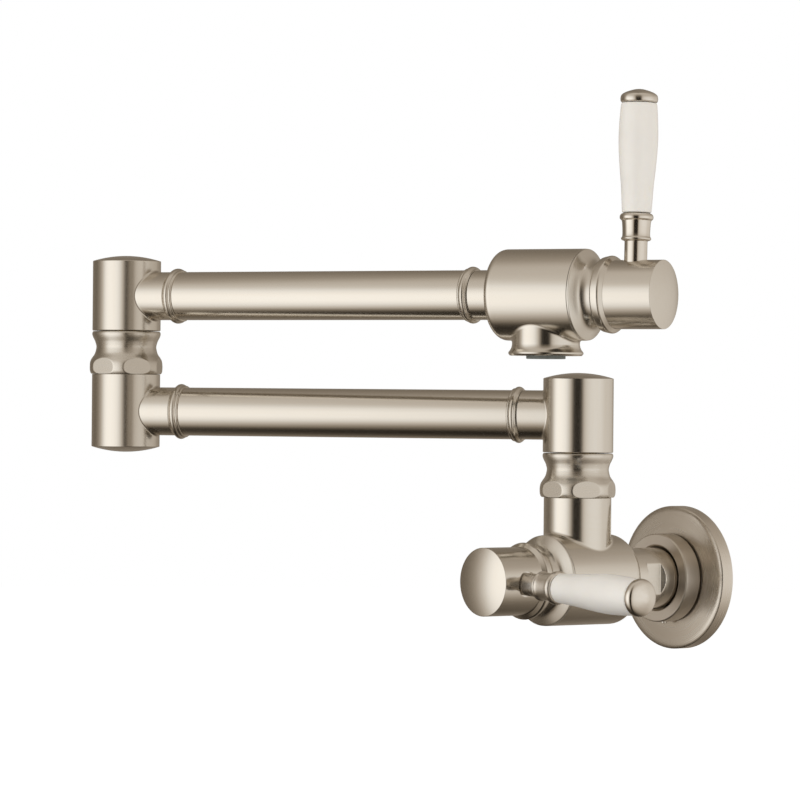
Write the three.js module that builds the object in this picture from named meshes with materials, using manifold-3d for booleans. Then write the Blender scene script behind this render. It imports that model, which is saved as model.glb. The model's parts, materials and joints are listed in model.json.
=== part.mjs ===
// Wall mounted pot filler: a folding, double-jointed kitchen tap that is fixed
// to the wall above a hob. Millimetres, +Z up. The origin is the centre of the
// wall flange's back face: the wall is the plane y = 0, the room is towards -Y.
//
// Water comes in through the threaded shank, through the wall valve, up its
// riser, through the shoulder swivel, along the lower arm, through the elbow
// swivel, along the upper arm to the spout valve, and out of the aerator.

import * as THREE from 'three';
import { mergeVertices } from 'three/addons/utils/BufferGeometryUtils.js';
import Module from 'manifold-3d';

const wasm = await Module();
wasm.setup();

// ---------------------------------------------------------------- dimensions

const GAP = 0.3;                 // clearance left between neighbouring pieces

// layout
const SHOULDER_Y = -65.6;        // shoulder swivel axis, out from the wall
const LOWER_TUBE_Z = 73.06;      // height of the lower arm's tube axis
const UPPER_TUBE_Z = 125.83;     // height of the upper arm's tube axis
const LOWER_ANGLE = 209.38;      // heading of the lower arm from +X, degrees
const UPPER_ANGLE = 20.91;       // heading of the upper arm from +X, degrees
const LOWER_REACH = 218.25;      // shoulder axis to elbow axis
const UPPER_REACH = 215.5;       // elbow axis to outlet axis

// arm tubes, 7/8 in outside
const TUBE_R = 11.0;
const TUBE_BORE_R = 9.0;
const STUB_END = 25.3;           // end of an elbow's full-size stub, from its post axis
const PLUG_R = 8.7;              // reduced end that enters the tube
const PLUG_END = 38.0;
const BEAD_AT = 27.8;            // centre of the bead ring, from the post axis
const BEAD_HALF = 2.2;
const BEAD_R = 12.6;
const UPPER_BEAD_AT = 179.3;     // bead ring next to the spout valve

// elbow posts and swivels
const POST_R = 15.65;
const POST_DOME = 2.6;
const NECK_R = 12.2;             // threaded neck that carries a swivel nut
const NECK_H = 9.4;
const SWIVEL_H = 19.95;          // neck shoulder to the underside of the turning body
const SPIGOT_R = 8.0;
const SOCKET_R = 8.3;
const SHOULDER_BASE_Z = 36.6;    // top of the riser's shoulder
const ELBOW_BASE_Z = 90.0;       // top of the lower elbow's shoulder
const LOWER_POST_TOP = 89.6;
const LOWER_POST_BOTTOM = 56.6;
const UPPER_POST_TOP = 142.1;

// valve, u runs along its axis from the port axis towards the handle
const BODY_R = 20.1;
const BODY_FAR = 22.3;           // barrel beyond the port axis, away from the handle
const BODY_NEAR = 19.3;          // and towards the handle
const CAVITY_R = 14.0;
const CAVITY_FLOOR = -8.0;
const RISER_R = 15.0;
const LEVER_U = 42.8;            // lever axis
const HUB_R = 15.05;
const HUB_END = 58.6;            // top of the hub's domed face

// lever, w runs out from the valve axis
const LEVER_TAIL_R = 3.0;
const LEVER_STEM_R = 5.0;
const GRIP_FROM = 35.6;
const GRIP_TO = 83.2;
const CAP_TOP = 89.4;
const WALL_LEVER_DROOP = 2.6;    // degrees below horizontal at rest
const SPOUT_LEVER_LEAN = 1.9;    // degrees away from upright at rest

// wall fittings, y
const FLANGE_R = 32.3;
const FLANGE_T = 7.7;            // at the collar
const FLANGE_RIM = 6.1;          // at the outer edge
const COLLAR_R = 19.9;
const COLLAR_FRONT = 17.0;
const SHANK_R = 13.7;
const THREAD_R = 10.4;           // 1/2 in male pipe thread
const INLET_BEHIND = 20.0;       // thread beyond the wall plane
const WATERWAY_R = 7.0;

// spout outlet, w runs down from the valve axis
const OUTLET_R = 14.9;
const OUTLET_RIM_R = 16.5;
const OUTLET_END = 26.7;
const AERATOR_SOCKET_R = 12.3;
const AERATOR_INSERT_R = 8.7;
const AERATOR_END = 28.1;

// facets around a turned piece
const N_FLANGE = 32;
const N_BIG = 20;
const N_MID = 16;
const N_SMALL = 12;

// ------------------------------------------------------------------- helpers

const rad = THREE.MathUtils.degToRad;

// a closed body from any three.js geometry, its shared vertices merged
function body(geometry) {
  const g = geometry.clone();
  g.deleteAttribute('normal');
  g.deleteAttribute('uv');
  const m = mergeVertices(g, 1e-4);
  const pos = m.attributes.position.array;
  const idx = m.index.array;
  const tri = [];
  for (let i = 0; i < idx.length; i += 3) {
    const [a, b, c] = [idx[i], idx[i + 1], idx[i + 2]];
    if (a !== b && b !== c && a !== c) tri.push(a, b, c);
  }
  let volume = 0;
  const p = (k) => new THREE.Vector3(pos[3 * k], pos[3 * k + 1], pos[3 * k + 2]);
  for (let i = 0; i < tri.length; i += 3) {
    volume += p(tri[i]).dot(p(tri[i + 1]).cross(p(tri[i + 2])));
  }
  if (volume < 0) {
    for (let i = 0; i < tri.length; i += 3) [tri[i + 1], tri[i + 2]] = [tri[i + 2], tri[i + 1]];
  }
  return new wasm.Manifold(new wasm.Mesh({
    numProp: 3,
    vertProperties: new Float32Array(pos),
    triVerts: new Uint32Array(tri),
  }));
}

// back to a three.js geometry
function geometryOf(solid) {
  const mesh = solid.getMesh();
  const g = new THREE.BufferGeometry();
  const np = mesh.numProp;
  const n = mesh.vertProperties.length / np;
  const out = new Float32Array(n * 3);
  for (let i = 0; i < n; i++) {
    for (let k = 0; k < 3; k++) out[3 * i + k] = mesh.vertProperties[np * i + k];
  }
  g.setAttribute('position', new THREE.BufferAttribute(out, 3));
  g.setIndex(new THREE.BufferAttribute(new Uint32Array(mesh.triVerts), 1));
  g.computeVertexNormals();
  return g;
}

// turned shape, profile points are [radius, station]; the axis is local Y
function turnedY(profile, n = N_BIG) {
  const pts = profile.map(([r, h]) => new THREE.Vector2(r, h));
  return new THREE.LatheGeometry(pts, n);
}
// the same with its axis along Z
function turnedZ(profile, n = N_BIG) {
  return turnedY(profile, n).rotateX(Math.PI / 2);
}
// the same with its axis along X
function turnedX(profile, n = N_BIG) {
  return turnedY(profile, n).rotateZ(-Math.PI / 2);
}
// a ring profile that closes on itself
function ring(outer, inner, from, to) {
  return [[inner, from], [outer, from], [outer, to], [inner, to], [inner, from]];
}
// a plain round bar profile that starts and ends on the axis
function bar(r, from, to) {
  return [[0, from], [r, from], [r, to], [0, to]];
}
function cut(solid, ...tools) {
  return tools.reduce((s, t) => s.subtract(t), solid);
}
function join(solid, ...others) {
  return others.reduce((s, t) => s.add(t), solid);
}

// ----------------------------------------------------------------- materials

const FINISH = {
  satin_nickel: { color: 0xb3a594, roughness: 0.34, metalness: 1.0 },
  polished_nickel: { color: 0xc9beb0, roughness: 0.14, metalness: 1.0 },
  brass: { color: 0xb98f45, roughness: 0.4, metalness: 1.0 },
  porcelain: { color: 0xece8e0, roughness: 0.12, metalness: 0.0 },
  disc_ceramic: { color: 0xd9d6cf, roughness: 0.25, metalness: 0.0 },
  rubber: { color: 0x1d1c1b, roughness: 0.8, metalness: 0.0 },
  washer_plastic: { color: 0x2b2927, roughness: 0.55, metalness: 0.0 },
  aerator_plastic: { color: 0x82867f, roughness: 0.5, metalness: 0.0 },
};

function add(parent, name, geometry, finish) {
  const solid = geometry.isBufferGeometry ? body(geometry) : geometry;
  const mesh = new THREE.Mesh(geometryOf(solid), new THREE.MeshStandardMaterial(FINISH[finish]));
  mesh.name = name;
  parent.add(mesh);
  return mesh;
}

// ------------------------------------------------------------- shared pieces

// Swivel: heights are from the shoulder of the neck that carries the nut.
// The nut is turned with a narrow waist and six wrench flats near its foot.
function swivelNut() {
  const outer = [
    [12.5, GAP], [16.0, GAP], [17.0, 1.7], [17.0, 4.4], [16.0, 6.9],
    [14.2, 9.9], [13.75, 12.2], [14.3, 14.8], [15.7, 18.2], [15.5, SWIVEL_H - GAP],
  ];
  const inner = [
    [12.8, SWIVEL_H - GAP], [12.8, 18.4], [8.6, 18.4], [8.6, 16.0], [11.5, 16.0],
    [11.5, 9.75], [12.5, 9.75], [12.5, GAP],
  ];
  let nut = body(turnedZ([...outer, ...inner], N_BIG));
  const apothem = 15.7;
  for (let i = 0; i < 6; i++) {
    const slab = new THREE.BoxGeometry(4, 20, 8.2).translate(apothem + 2, 0, 3.7)
      .rotateZ(rad(60 * i));
    nut = nut.subtract(body(slab));
  }
  return nut;
}
// hollow spigot of the turning body, with a collar that the nut holds down
function swivelSpigot() {
  return turnedZ([
    [5.5, -12], [SPIGOT_R, -12], [SPIGOT_R, -9.6], [6.9, -9.6], [6.9, -7.4], [SPIGOT_R, -7.4],
    [SPIGOT_R, -4.6], [6.9, -4.6], [6.9, -2.4], [SPIGOT_R, -2.4], [SPIGOT_R, 9.8],
    [11.15, 9.8], [11.15, 15.5], [SPIGOT_R, 15.5], [SPIGOT_R, 28.0], [5.5, 28.0], [5.5, -12],
  ], N_MID);
}
function spigotRing(from) {
  return turnedZ([
    [7.1, from], [7.9, from], [8.05, from + 0.85], [7.9, from + 1.7], [7.1, from + 1.7],
    [7.1, from],
  ], N_MID);
}
function thrustWasher() {
  return turnedZ(ring(12.5, 9.0, 18.7, SWIVEL_H - GAP), N_MID);
}
// decorative ring between a stub and the tube, axis along X, centred on x = 0
function beadRing() {
  return turnedX([
    [9.0, -BEAD_HALF], [11.6, -BEAD_HALF], [BEAD_R, -0.8], [BEAD_R, 0.8],
    [11.6, BEAD_HALF], [9.0, BEAD_HALF], [9.0, -BEAD_HALF],
  ], N_BIG);
}
// stub and tube plug along +X from a post axis, before boring
function stub() {
  return body(turnedX([
    [0, 0], [TUBE_R, 0], [TUBE_R, STUB_END], [PLUG_R, STUB_END], [PLUG_R, PLUG_END], [0, PLUG_END],
  ], N_BIG));
}
function stubBore() {
  return body(turnedX(bar(6.4, 0, PLUG_END + 1), N_MID));
}

// Valve pieces in a frame whose +Y runs along the valve axis to the handle.
function cartridgeHousing() {
  let h = body(turnedY([
    [9.0, -5.2], [10.6, -5.2], [10.6, 9.0], [13.65, 9.0], [13.65, 19.3], [9.6, 19.3],
    [9.6, 24.0], [4.3, 24.0], [4.3, 9.6], [9.0, 7.2], [9.0, -5.2],
  ], N_MID));
  // two windows that let the water out to the sides
  h = h.subtract(body(new THREE.BoxGeometry(30, 5.4, 9).translate(0, 4.2, 0)));
  return h;
}
function disc(from, thickness, turn) {
  const plate = body(turnedY(bar(8.6, from, from + thickness), N_MID));
  const kidneys = [0, Math.PI].map((side) => {
    const pts = [];
    for (let k = 0; k <= 5; k++) {
      const a = turn + side - 0.62 + 1.24 * (k / 5);
      pts.push(new THREE.Vector2(6.6 * Math.cos(a), 6.6 * Math.sin(a)));
    }
    for (let k = 3; k >= 0; k--) {
      const a = turn + side - 0.62 + 1.24 * (k / 3);
      pts.push(new THREE.Vector2(2.6 * Math.cos(a), 2.6 * Math.sin(a)));
    }
    return body(new THREE.ExtrudeGeometry(new THREE.Shape(pts), { depth: 20, bevelEnabled: false })
      .translate(0, 0, -10).rotateX(-Math.PI / 2).translate(0, from, 0));
  });
  return cut(plate, ...kidneys);
}
function cartridgeStem() {
  let s = body(turnedY([
    [0, 1.2], [6.6, 1.2], [6.6, 3.6], [4.0, 3.6], [4.0, 12.8], [3.0, 12.8], [3.0, 15.6],
    [4.0, 15.6], [4.0, 24.0], [3.45, 24.0], [3.45, 48.4], [0, 48.4],
  ], N_SMALL));
  // the driver is a bar across the disc, so water passes on both sides of it
  s = cut(s,
    body(new THREE.BoxGeometry(6, 4, 20).translate(6.4, 2.0, 0)),
    body(new THREE.BoxGeometry(6, 4, 20).translate(-6.4, 2.0, 0)));
  return s;
}
function stemRing() {
  return turnedY(ring(3.98, 3.25, 13.1, 15.3), N_SMALL);
}
function cartridgeSeal() {
  return turnedY(ring(10.2, 6.4, CAVITY_FLOOR + GAP, -5.5), N_MID);
}
function bonnetRing() {
  return turnedY([
    [9.9, BODY_NEAR + GAP], [20.0, BODY_NEAR + GAP], [20.0, 20.3], [16.5, 21.4],
    [14.4, 23.2], [13.7, 25.4], [14.3, 28.2], [9.9, 28.2], [9.9, BODY_NEAR + GAP],
  ], N_BIG);
}
// handle hub, a deep cup turned over the cartridge stem; the lever screws into
// its side at angle leverAngle about +Y, measured from +Z towards +X
function hub(leverAngle) {
  const shell = body(turnedY([
    [0, 48.8], [3.8, 48.8], [3.8, 36.0], [11.5, 36.0], [11.5, 28.5], [16.0, 28.5],
    [16.5, 29.2], [17.0, 31.6], [16.8, 32.6], [HUB_R, 34.1], [HUB_R, HUB_END - 2.1], [14.8, HUB_END - 1.7],
    [10.2, HUB_END - 0.8], [5.1, HUB_END - 0.2], [0, HUB_END],
  ], N_BIG));
  const hole = turnedZ([
    [0, -1], [LEVER_TAIL_R + GAP, -1], [LEVER_TAIL_R + GAP, 13.7], [LEVER_STEM_R + GAP, 13.7],
    [LEVER_STEM_R + GAP, 17], [0, 17],
  ], N_MID).rotateY(leverAngle).translate(0, LEVER_U, 0);
  return shell.subtract(body(hole));
}
function leverStem() {
  return turnedZ([
    [0, 3.85], [LEVER_TAIL_R, 3.85], [LEVER_TAIL_R, 14.0], [LEVER_STEM_R, 14.0], [LEVER_STEM_R, 23.3],
    [6.56, 24.2], [6.1, 25.4], [6.4, 31.9], [7.35, 33.3], [6.9, 35.2],
    [2.0, 35.2], [2.0, 22.0], [0, 22.0],
  ], N_MID);
}
function leverGrip() {
  return turnedZ([
    [2.4, GRIP_FROM], [6.44, GRIP_FROM], [7.1, 47.0], [8.1, 58.0], [8.58, 67.0],
    [8.35, 76.0], [7.76, GRIP_TO], [2.4, GRIP_TO], [2.4, GRIP_FROM],
  ], N_MID);
}
function leverRod() {
  return turnedZ(bar(1.65, 22.4, 85.6), N_SMALL);
}
function leverCap() {
  return turnedZ([
    [2.0, GRIP_TO + GAP], [7.5, GRIP_TO + GAP], [8.15, 84.6], [7.7, 86.3], [6.0, 88.0], [3.4, 89.1],
    [0, CAP_TOP], [0, 86.0], [2.0, 86.0], [2.0, GRIP_TO + GAP],
  ], N_MID);
}

// A whole handle and cartridge. The lever is placed at leverAngle about +Y,
// from +Z towards +X.
function valveHandle(parent, prefix, leverAngle) {
  add(parent, `${prefix}_handle_hub`, hub(leverAngle), 'satin_nickel');
  const lever = new THREE.Group();
  lever.position.set(0, LEVER_U, 0);
  lever.rotation.set(0, leverAngle, 0);
  parent.add(lever);
  add(lever, `${prefix}_lever_stem`, leverStem(), 'polished_nickel');
  add(lever, `${prefix}_lever_grip`, leverGrip(), 'porcelain');
  add(lever, `${prefix}_lever_tie_rod`, leverRod(), 'brass');
  add(lever, `${prefix}_lever_cap`, leverCap(), 'polished_nickel');
  add(parent, `${prefix}_cartridge_stem`, cartridgeStem(), 'brass');
  add(parent, `${prefix}_moving_disc`, disc(-1.9, 2.8, Math.PI / 2), 'disc_ceramic');
  add(parent, `${prefix}_stem_o_ring`, stemRing(), 'rubber');
}
function valveInternals(parent, prefix) {
  add(parent, `${prefix}_cartridge_housing`, cartridgeHousing(), 'brass');
  add(parent, `${prefix}_fixed_disc`, disc(-5.0, 2.8, 0), 'disc_ceramic');
  add(parent, `${prefix}_cartridge_seal`, cartridgeSeal(), 'rubber');
  add(parent, `${prefix}_bonnet_ring`, bonnetRing(), 'satin_nickel');
}
// the barrel of a valve, with a large round at its far end
function barrel() {
  return body(turnedY([
    [0, -BODY_FAR], [16.6, -BODY_FAR], [19.2, -21.1], [BODY_R, -18.7],
    [BODY_R, BODY_NEAR], [0, BODY_NEAR],
  ], N_BIG));
}
function cavity() {
  return body(turnedY(bar(CAVITY_R, CAVITY_FLOOR, BODY_NEAR + 1), N_MID));
}

// ------------------------------------------------------------------ assembly

const potFiller = new THREE.Group();

// ---- wall valve, fixed to the wall
const wallValve = new THREE.Group();
potFiller.add(wallValve);

// wall flange: axis along Y, back face on y = 0, recessed behind for its gasket
add(wallValve, 'escutcheon', turnedY([
  [14.6, -2.2], [24.0, -2.2], [24.0, 0], [FLANGE_R, 0], [FLANGE_R, -FLANGE_RIM],
  [31.9, -FLANGE_RIM - 0.4], [20.5, -FLANGE_T], [14.6, -FLANGE_T], [14.6, -2.2],
], N_FLANGE), 'satin_nickel');
add(wallValve, 'wall_gasket', turnedY(ring(23.3, 14.6, -1.9, -0.3), N_BIG), 'rubber');

// locking collar in front of the flange, with a set screw at its underside
const collar = cut(
  body(turnedY([
    [14.3, -FLANGE_T - GAP], [18.7, -FLANGE_T - GAP], [18.7, -9.2], [COLLAR_R, -9.6],
    [COLLAR_R, -16.2], [19.1, -COLLAR_FRONT], [15.0, -COLLAR_FRONT], [14.3, -16.3],
    [14.3, -FLANGE_T - GAP],
  ], N_BIG)),
  body(turnedZ(bar(1.8, -22, -12), N_SMALL).translate(0, -12.7, 0)));
add(wallValve, 'escutcheon_collar', collar, 'satin_nickel');
add(wallValve, 'collar_set_screw', turnedZ([
  [0, -18.2], [0.8, -18.2], [0.8, -19.4], [1.5, -19.4], [1.5, -14.1], [0, -14.1],
], N_SMALL).translate(0, -12.7, 0), 'satin_nickel');

// inlet shank: thread, round shank with two wrench flats, plug into the valve
const SHANK_TO = SHOULDER_Y + BODY_FAR + GAP;      // front shoulder, just off the barrel
let shank = body(turnedY([
  [WATERWAY_R, INLET_BEHIND], [9.7, INLET_BEHIND], [THREAD_R, INLET_BEHIND - 1.2], [THREAD_R, -3.5],
  [SHANK_R, -3.5], [SHANK_R, -40.5], [14.4, -41.5], [14.4, SHANK_TO],
  [9.6, SHANK_TO], [9.6, -47.8], [8.1, -47.8], [8.1, -50.2], [9.6, -50.2], [9.6, -53.4],
  [WATERWAY_R, -53.4], [WATERWAY_R, INLET_BEHIND],
], N_BIG));
for (const side of [-1, 1]) {
  shank = shank.subtract(body(new THREE.BoxGeometry(6, 10.8, 30)
    .translate(side * (11.85 + 3), -28.9, 0)));
}
add(wallValve, 'inlet_shank', shank, 'satin_nickel');
add(wallValve, 'inlet_o_ring', turnedY(ring(9.65, 8.35, -50.0, -48.0), N_MID), 'rubber');

// valve frame: its +Y is the world's -Y
const wallFrame = new THREE.Group();
wallFrame.position.set(0, SHOULDER_Y, 0);
wallFrame.rotation.set(0, 0, Math.PI);
wallValve.add(wallFrame);

const riser = body(turnedZ([
  [0, 0], [RISER_R, 0], [RISER_R, SHOULDER_BASE_Z], [NECK_R, SHOULDER_BASE_Z],
  [NECK_R, SHOULDER_BASE_Z + NECK_H], [0, SHOULDER_BASE_Z + NECK_H],
], N_BIG));
add(wallFrame, 'wall_valve_body', cut(
  join(barrel(), riser),
  cavity(),
  body(turnedY(bar(6.4, -BODY_FAR - 1, 0), N_MID)),
  body(turnedY(bar(10.0, -BODY_FAR - 1, -11.8), N_MID)),
  body(turnedZ(bar(SOCKET_R, 0, SHOULDER_BASE_Z + NECK_H + 1), N_MID)),
), 'satin_nickel');
valveInternals(wallFrame, 'wall');

// the lever lies along the wall towards +X, a little below horizontal
const wallHandle = new THREE.Group();
wallFrame.add(wallHandle);
valveHandle(wallHandle, 'wall', -Math.PI / 2 - rad(WALL_LEVER_DROOP));

const shoulderFixed = new THREE.Group();
shoulderFixed.position.set(0, SHOULDER_Y, SHOULDER_BASE_Z);
wallValve.add(shoulderFixed);
const shoulderNut = add(shoulderFixed, 'shoulder_swivel_nut', swivelNut(), 'satin_nickel');
shoulderNut.rotation.z = rad(-28.9);
add(shoulderFixed, 'shoulder_thrust_washer', thrustWasher(), 'washer_plastic');

// ---- lower arm, turns on the shoulder axis; its +X runs to the elbow
const lowerArm = new THREE.Group();
lowerArm.position.set(0, SHOULDER_Y, 0);
lowerArm.rotation.set(0, 0, rad(LOWER_ANGLE));
potFiller.add(lowerArm);

const shoulderSwivel = new THREE.Group();
shoulderSwivel.position.set(0, 0, SHOULDER_BASE_Z);
lowerArm.add(shoulderSwivel);
add(shoulderSwivel, 'shoulder_spigot', swivelSpigot(), 'brass');
add(shoulderSwivel, 'shoulder_o_ring_lower', spigotRing(-9.35), 'rubber');
add(shoulderSwivel, 'shoulder_o_ring_upper', spigotRing(-4.35), 'rubber');

const postFoot = SHOULDER_BASE_Z + SWIVEL_H;
add(lowerArm, 'lower_arm_shoulder', cut(
  join(
    body(turnedZ([
      [0, postFoot], [15.4, postFoot], [POST_R, postFoot + 0.3], [POST_R, LOWER_POST_TOP - 0.4],
      [15.3, LOWER_POST_TOP], [8.5, LOWER_POST_TOP + 1.95], [0, LOWER_POST_TOP + POST_DOME],
    ], N_BIG)),
    stub().translate([0, 0, LOWER_TUBE_Z])),
  body(turnedZ(bar(SOCKET_R, postFoot - 1, 64.9), N_MID)),
  body(turnedZ(bar(6.2, 60, 79.2), N_MID)),
  stubBore().translate([0, 0, LOWER_TUBE_Z]),
), 'satin_nickel');

const lowerTube = new THREE.Group();
lowerTube.position.set(0, 0, LOWER_TUBE_Z);
lowerArm.add(lowerTube);
add(lowerTube, 'lower_arm_bead_shoulder', beadRing(), 'satin_nickel').position.x = BEAD_AT;
add(lowerTube, 'lower_arm_tube', turnedX(
  ring(TUBE_R, TUBE_BORE_R, BEAD_AT + BEAD_HALF + GAP, LOWER_REACH - BEAD_AT - BEAD_HALF - GAP),
  N_BIG), 'satin_nickel');
add(lowerTube, 'lower_arm_bead_elbow', beadRing(), 'satin_nickel').position.x = LOWER_REACH - BEAD_AT;

const lowerElbow = add(lowerArm, 'lower_arm_elbow', cut(
  join(
    body(turnedZ([
      [0, LOWER_POST_BOTTOM - 2.3], [8.5, LOWER_POST_BOTTOM - 1.7],
      [15.3, LOWER_POST_BOTTOM], [POST_R, LOWER_POST_BOTTOM + 0.4],
      [POST_R, ELBOW_BASE_Z], [NECK_R, ELBOW_BASE_Z], [NECK_R, ELBOW_BASE_Z + NECK_H],
      [0, ELBOW_BASE_Z + NECK_H],
    ], N_BIG)),
    stub().rotate([0, 0, 180]).translate([0, 0, LOWER_TUBE_Z])),
  body(turnedZ(bar(SOCKET_R, 77.6, ELBOW_BASE_Z + NECK_H + 1), N_MID)),
  body(turnedZ(bar(6.2, 66.8, 80), N_MID)),
  stubBore().rotate([0, 0, 180]).translate([0, 0, LOWER_TUBE_Z]),
), 'satin_nickel');
lowerElbow.position.x = LOWER_REACH;

const elbowFixed = new THREE.Group();
elbowFixed.position.set(LOWER_REACH, 0, ELBOW_BASE_Z);
elbowFixed.rotation.set(0, 0, rad(-LOWER_ANGLE));
lowerArm.add(elbowFixed);
const elbowNut = add(elbowFixed, 'elbow_swivel_nut', swivelNut(), 'satin_nickel');
elbowNut.rotation.z = rad(-19.8);
add(elbowFixed, 'elbow_thrust_washer', thrustWasher(), 'washer_plastic');

// ---- upper arm, turns on the elbow axis; its +X runs to the outlet
const upperArm = new THREE.Group();
upperArm.position.set(
  LOWER_REACH * Math.cos(rad(LOWER_ANGLE)),
  SHOULDER_Y + LOWER_REACH * Math.sin(rad(LOWER_ANGLE)), 0);
upperArm.rotation.set(0, 0, rad(UPPER_ANGLE));
potFiller.add(upperArm);

const elbowSwivel = new THREE.Group();
elbowSwivel.position.set(0, 0, ELBOW_BASE_Z);
upperArm.add(elbowSwivel);
add(elbowSwivel, 'elbow_spigot', swivelSpigot(), 'brass');
add(elbowSwivel, 'elbow_o_ring_lower', spigotRing(-9.35), 'rubber');
add(elbowSwivel, 'elbow_o_ring_upper', spigotRing(-4.35), 'rubber');

const upperFoot = ELBOW_BASE_Z + SWIVEL_H;
add(upperArm, 'upper_arm_elbow', cut(
  join(
    body(turnedZ([
      [0, upperFoot], [15.4, upperFoot], [POST_R, upperFoot + 0.3], [POST_R, UPPER_POST_TOP - 0.4],
      [15.3, UPPER_POST_TOP], [8.5, UPPER_POST_TOP + 1.95], [0, UPPER_POST_TOP + POST_DOME],
    ], N_BIG)),
    stub().translate([0, 0, UPPER_TUBE_Z])),
  body(turnedZ(bar(SOCKET_R, upperFoot - 1, 118.3), N_MID)),
  body(turnedZ(bar(6.2, 112, 132), N_MID)),
  stubBore().translate([0, 0, UPPER_TUBE_Z]),
), 'satin_nickel');

const upperTube = new THREE.Group();
upperTube.position.set(0, 0, UPPER_TUBE_Z);
upperArm.add(upperTube);
add(upperTube, 'upper_arm_bead_elbow', beadRing(), 'satin_nickel').position.x = BEAD_AT;
add(upperTube, 'upper_arm_tube', turnedX(
  ring(TUBE_R, TUBE_BORE_R, BEAD_AT + BEAD_HALF + GAP, UPPER_BEAD_AT - BEAD_HALF - GAP),
  N_BIG), 'satin_nickel');
add(upperTube, 'upper_arm_bead_spout', beadRing(), 'satin_nickel').position.x = UPPER_BEAD_AT;

// spout valve frame: its +Y runs along the arm to the handle
const spoutFrame = new THREE.Group();
spoutFrame.position.set(UPPER_REACH, 0, 0);
spoutFrame.rotation.set(0, 0, -Math.PI / 2);
upperTube.add(spoutFrame);

const beadU = UPPER_BEAD_AT - UPPER_REACH;
add(spoutFrame, 'spout_valve_body', cut(
  join(
    barrel(),
    body(turnedY([
      [0, beadU - 10.2], [PLUG_R, beadU - 10.2], [PLUG_R, beadU + BEAD_HALF + GAP],
      [TUBE_R, beadU + BEAD_HALF + GAP], [TUBE_R, -BODY_FAR + 2], [0, -BODY_FAR + 2],
    ], N_BIG)),
    body(turnedZ([
      [0, -OUTLET_END], [15.7, -OUTLET_END], [OUTLET_RIM_R, -25.6],
      [15.4, -23.8], [OUTLET_R, -22.0], [OUTLET_R, 0], [0, 0],
    ], N_BIG))),
  cavity(),
  body(turnedY(bar(6.4, beadU - 11, 0), N_MID)),
  body(turnedZ(bar(8.0, -20, 0), N_MID)),
  body(turnedZ(bar(AERATOR_SOCKET_R, -OUTLET_END - 1, -17.0), N_BIG)),
), 'satin_nickel');
valveInternals(spoutFrame, 'spout');

const spoutHandle = new THREE.Group();
spoutFrame.add(spoutHandle);
valveHandle(spoutHandle, 'spout', rad(-SPOUT_LEVER_LEAN));

// aerator in the outlet
add(spoutFrame, 'aerator_washer', turnedZ(ring(12.0, 8.3, -18.7, -17.3), N_MID), 'rubber');
add(spoutFrame, 'aerator_housing', turnedZ([
  [9.0, -26.4], [11.95, -26.4], [11.95, -19.0], [8.3, -19.0], [8.3, -20.2], [9.0, -20.2], [9.0, -26.4],
], N_MID), 'aerator_plastic');
let face = body(turnedZ(bar(AERATOR_INSERT_R, -AERATOR_END, -21.0), N_MID));
for (let i = 0; i < 7; i++) {
  const a = (i - 1) * Math.PI / 3;
  const r = i === 0 ? 0 : 4.9;
  face = face.subtract(body(turnedZ(bar(1.7, -AERATOR_END - 1, -20), 8)
    .translate(r * Math.cos(a), r * Math.sin(a), 0)));
}
add(spoutFrame, 'aerator_insert', face, 'aerator_plastic');

export default potFiller;
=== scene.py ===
import json
import math

import bpy
import numpy as np
from mathutils import Matrix, Vector


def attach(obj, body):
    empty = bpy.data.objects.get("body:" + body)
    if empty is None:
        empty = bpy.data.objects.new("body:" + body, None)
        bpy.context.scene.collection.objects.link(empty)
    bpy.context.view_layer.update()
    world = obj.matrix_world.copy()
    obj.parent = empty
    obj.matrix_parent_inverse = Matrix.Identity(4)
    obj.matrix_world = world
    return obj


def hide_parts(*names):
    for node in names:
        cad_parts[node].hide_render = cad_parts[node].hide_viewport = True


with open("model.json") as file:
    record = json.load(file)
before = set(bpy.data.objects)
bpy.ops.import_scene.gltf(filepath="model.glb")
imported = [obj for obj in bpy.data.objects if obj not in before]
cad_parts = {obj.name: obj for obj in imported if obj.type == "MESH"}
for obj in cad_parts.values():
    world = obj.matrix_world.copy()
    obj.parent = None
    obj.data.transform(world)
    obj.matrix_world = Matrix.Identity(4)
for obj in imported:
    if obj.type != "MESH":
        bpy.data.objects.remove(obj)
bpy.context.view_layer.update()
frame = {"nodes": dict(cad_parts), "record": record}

# Wall mounted pot filler. Lengths in the helpers are millimetres, as in the
# CAD; pieces are written in metres. Each turned piece has its own origin, with
# its axis on local Z, so brushing and tangents follow the piece.

MM = 0.001
rad = math.radians

# ---------------------------------------------------------------- layout (mm)
SHOULDER_Y = -65.6
LOWER_TUBE_Z = 73.06
UPPER_TUBE_Z = 125.83
LOWER_ANGLE = 209.38
UPPER_ANGLE = 20.91
LOWER_REACH = 218.25
UPPER_REACH = 215.5
TUBE_R = 11.0
BEAD_AT = 27.8
UPPER_BEAD_AT = 179.3
STUB_END = 25.3
PLUG_R = 8.7
PLUG_END = 38.0
POST_R = 15.65
NECK_R = 12.2
SHOULDER_BASE_Z = 36.6
ELBOW_BASE_Z = 90.0
SWIVEL_H = 19.95
BODY_R = 20.1
BODY_FAR = 22.3
BODY_NEAR = 19.3
LEVER_U = 42.8
HUB_R = 15.05


# ------------------------------------------------------------------- geometry
def T(x, y, z):
    return Matrix.Translation(Vector((x, y, z)))


def R(deg, axis):
    return Matrix.Rotation(rad(deg), 4, axis)


Z_TO_Y = R(-90, "X")   # local Z along the frame's +Y
Z_TO_X = R(90, "Y")    # local Z along the frame's +X

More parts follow.
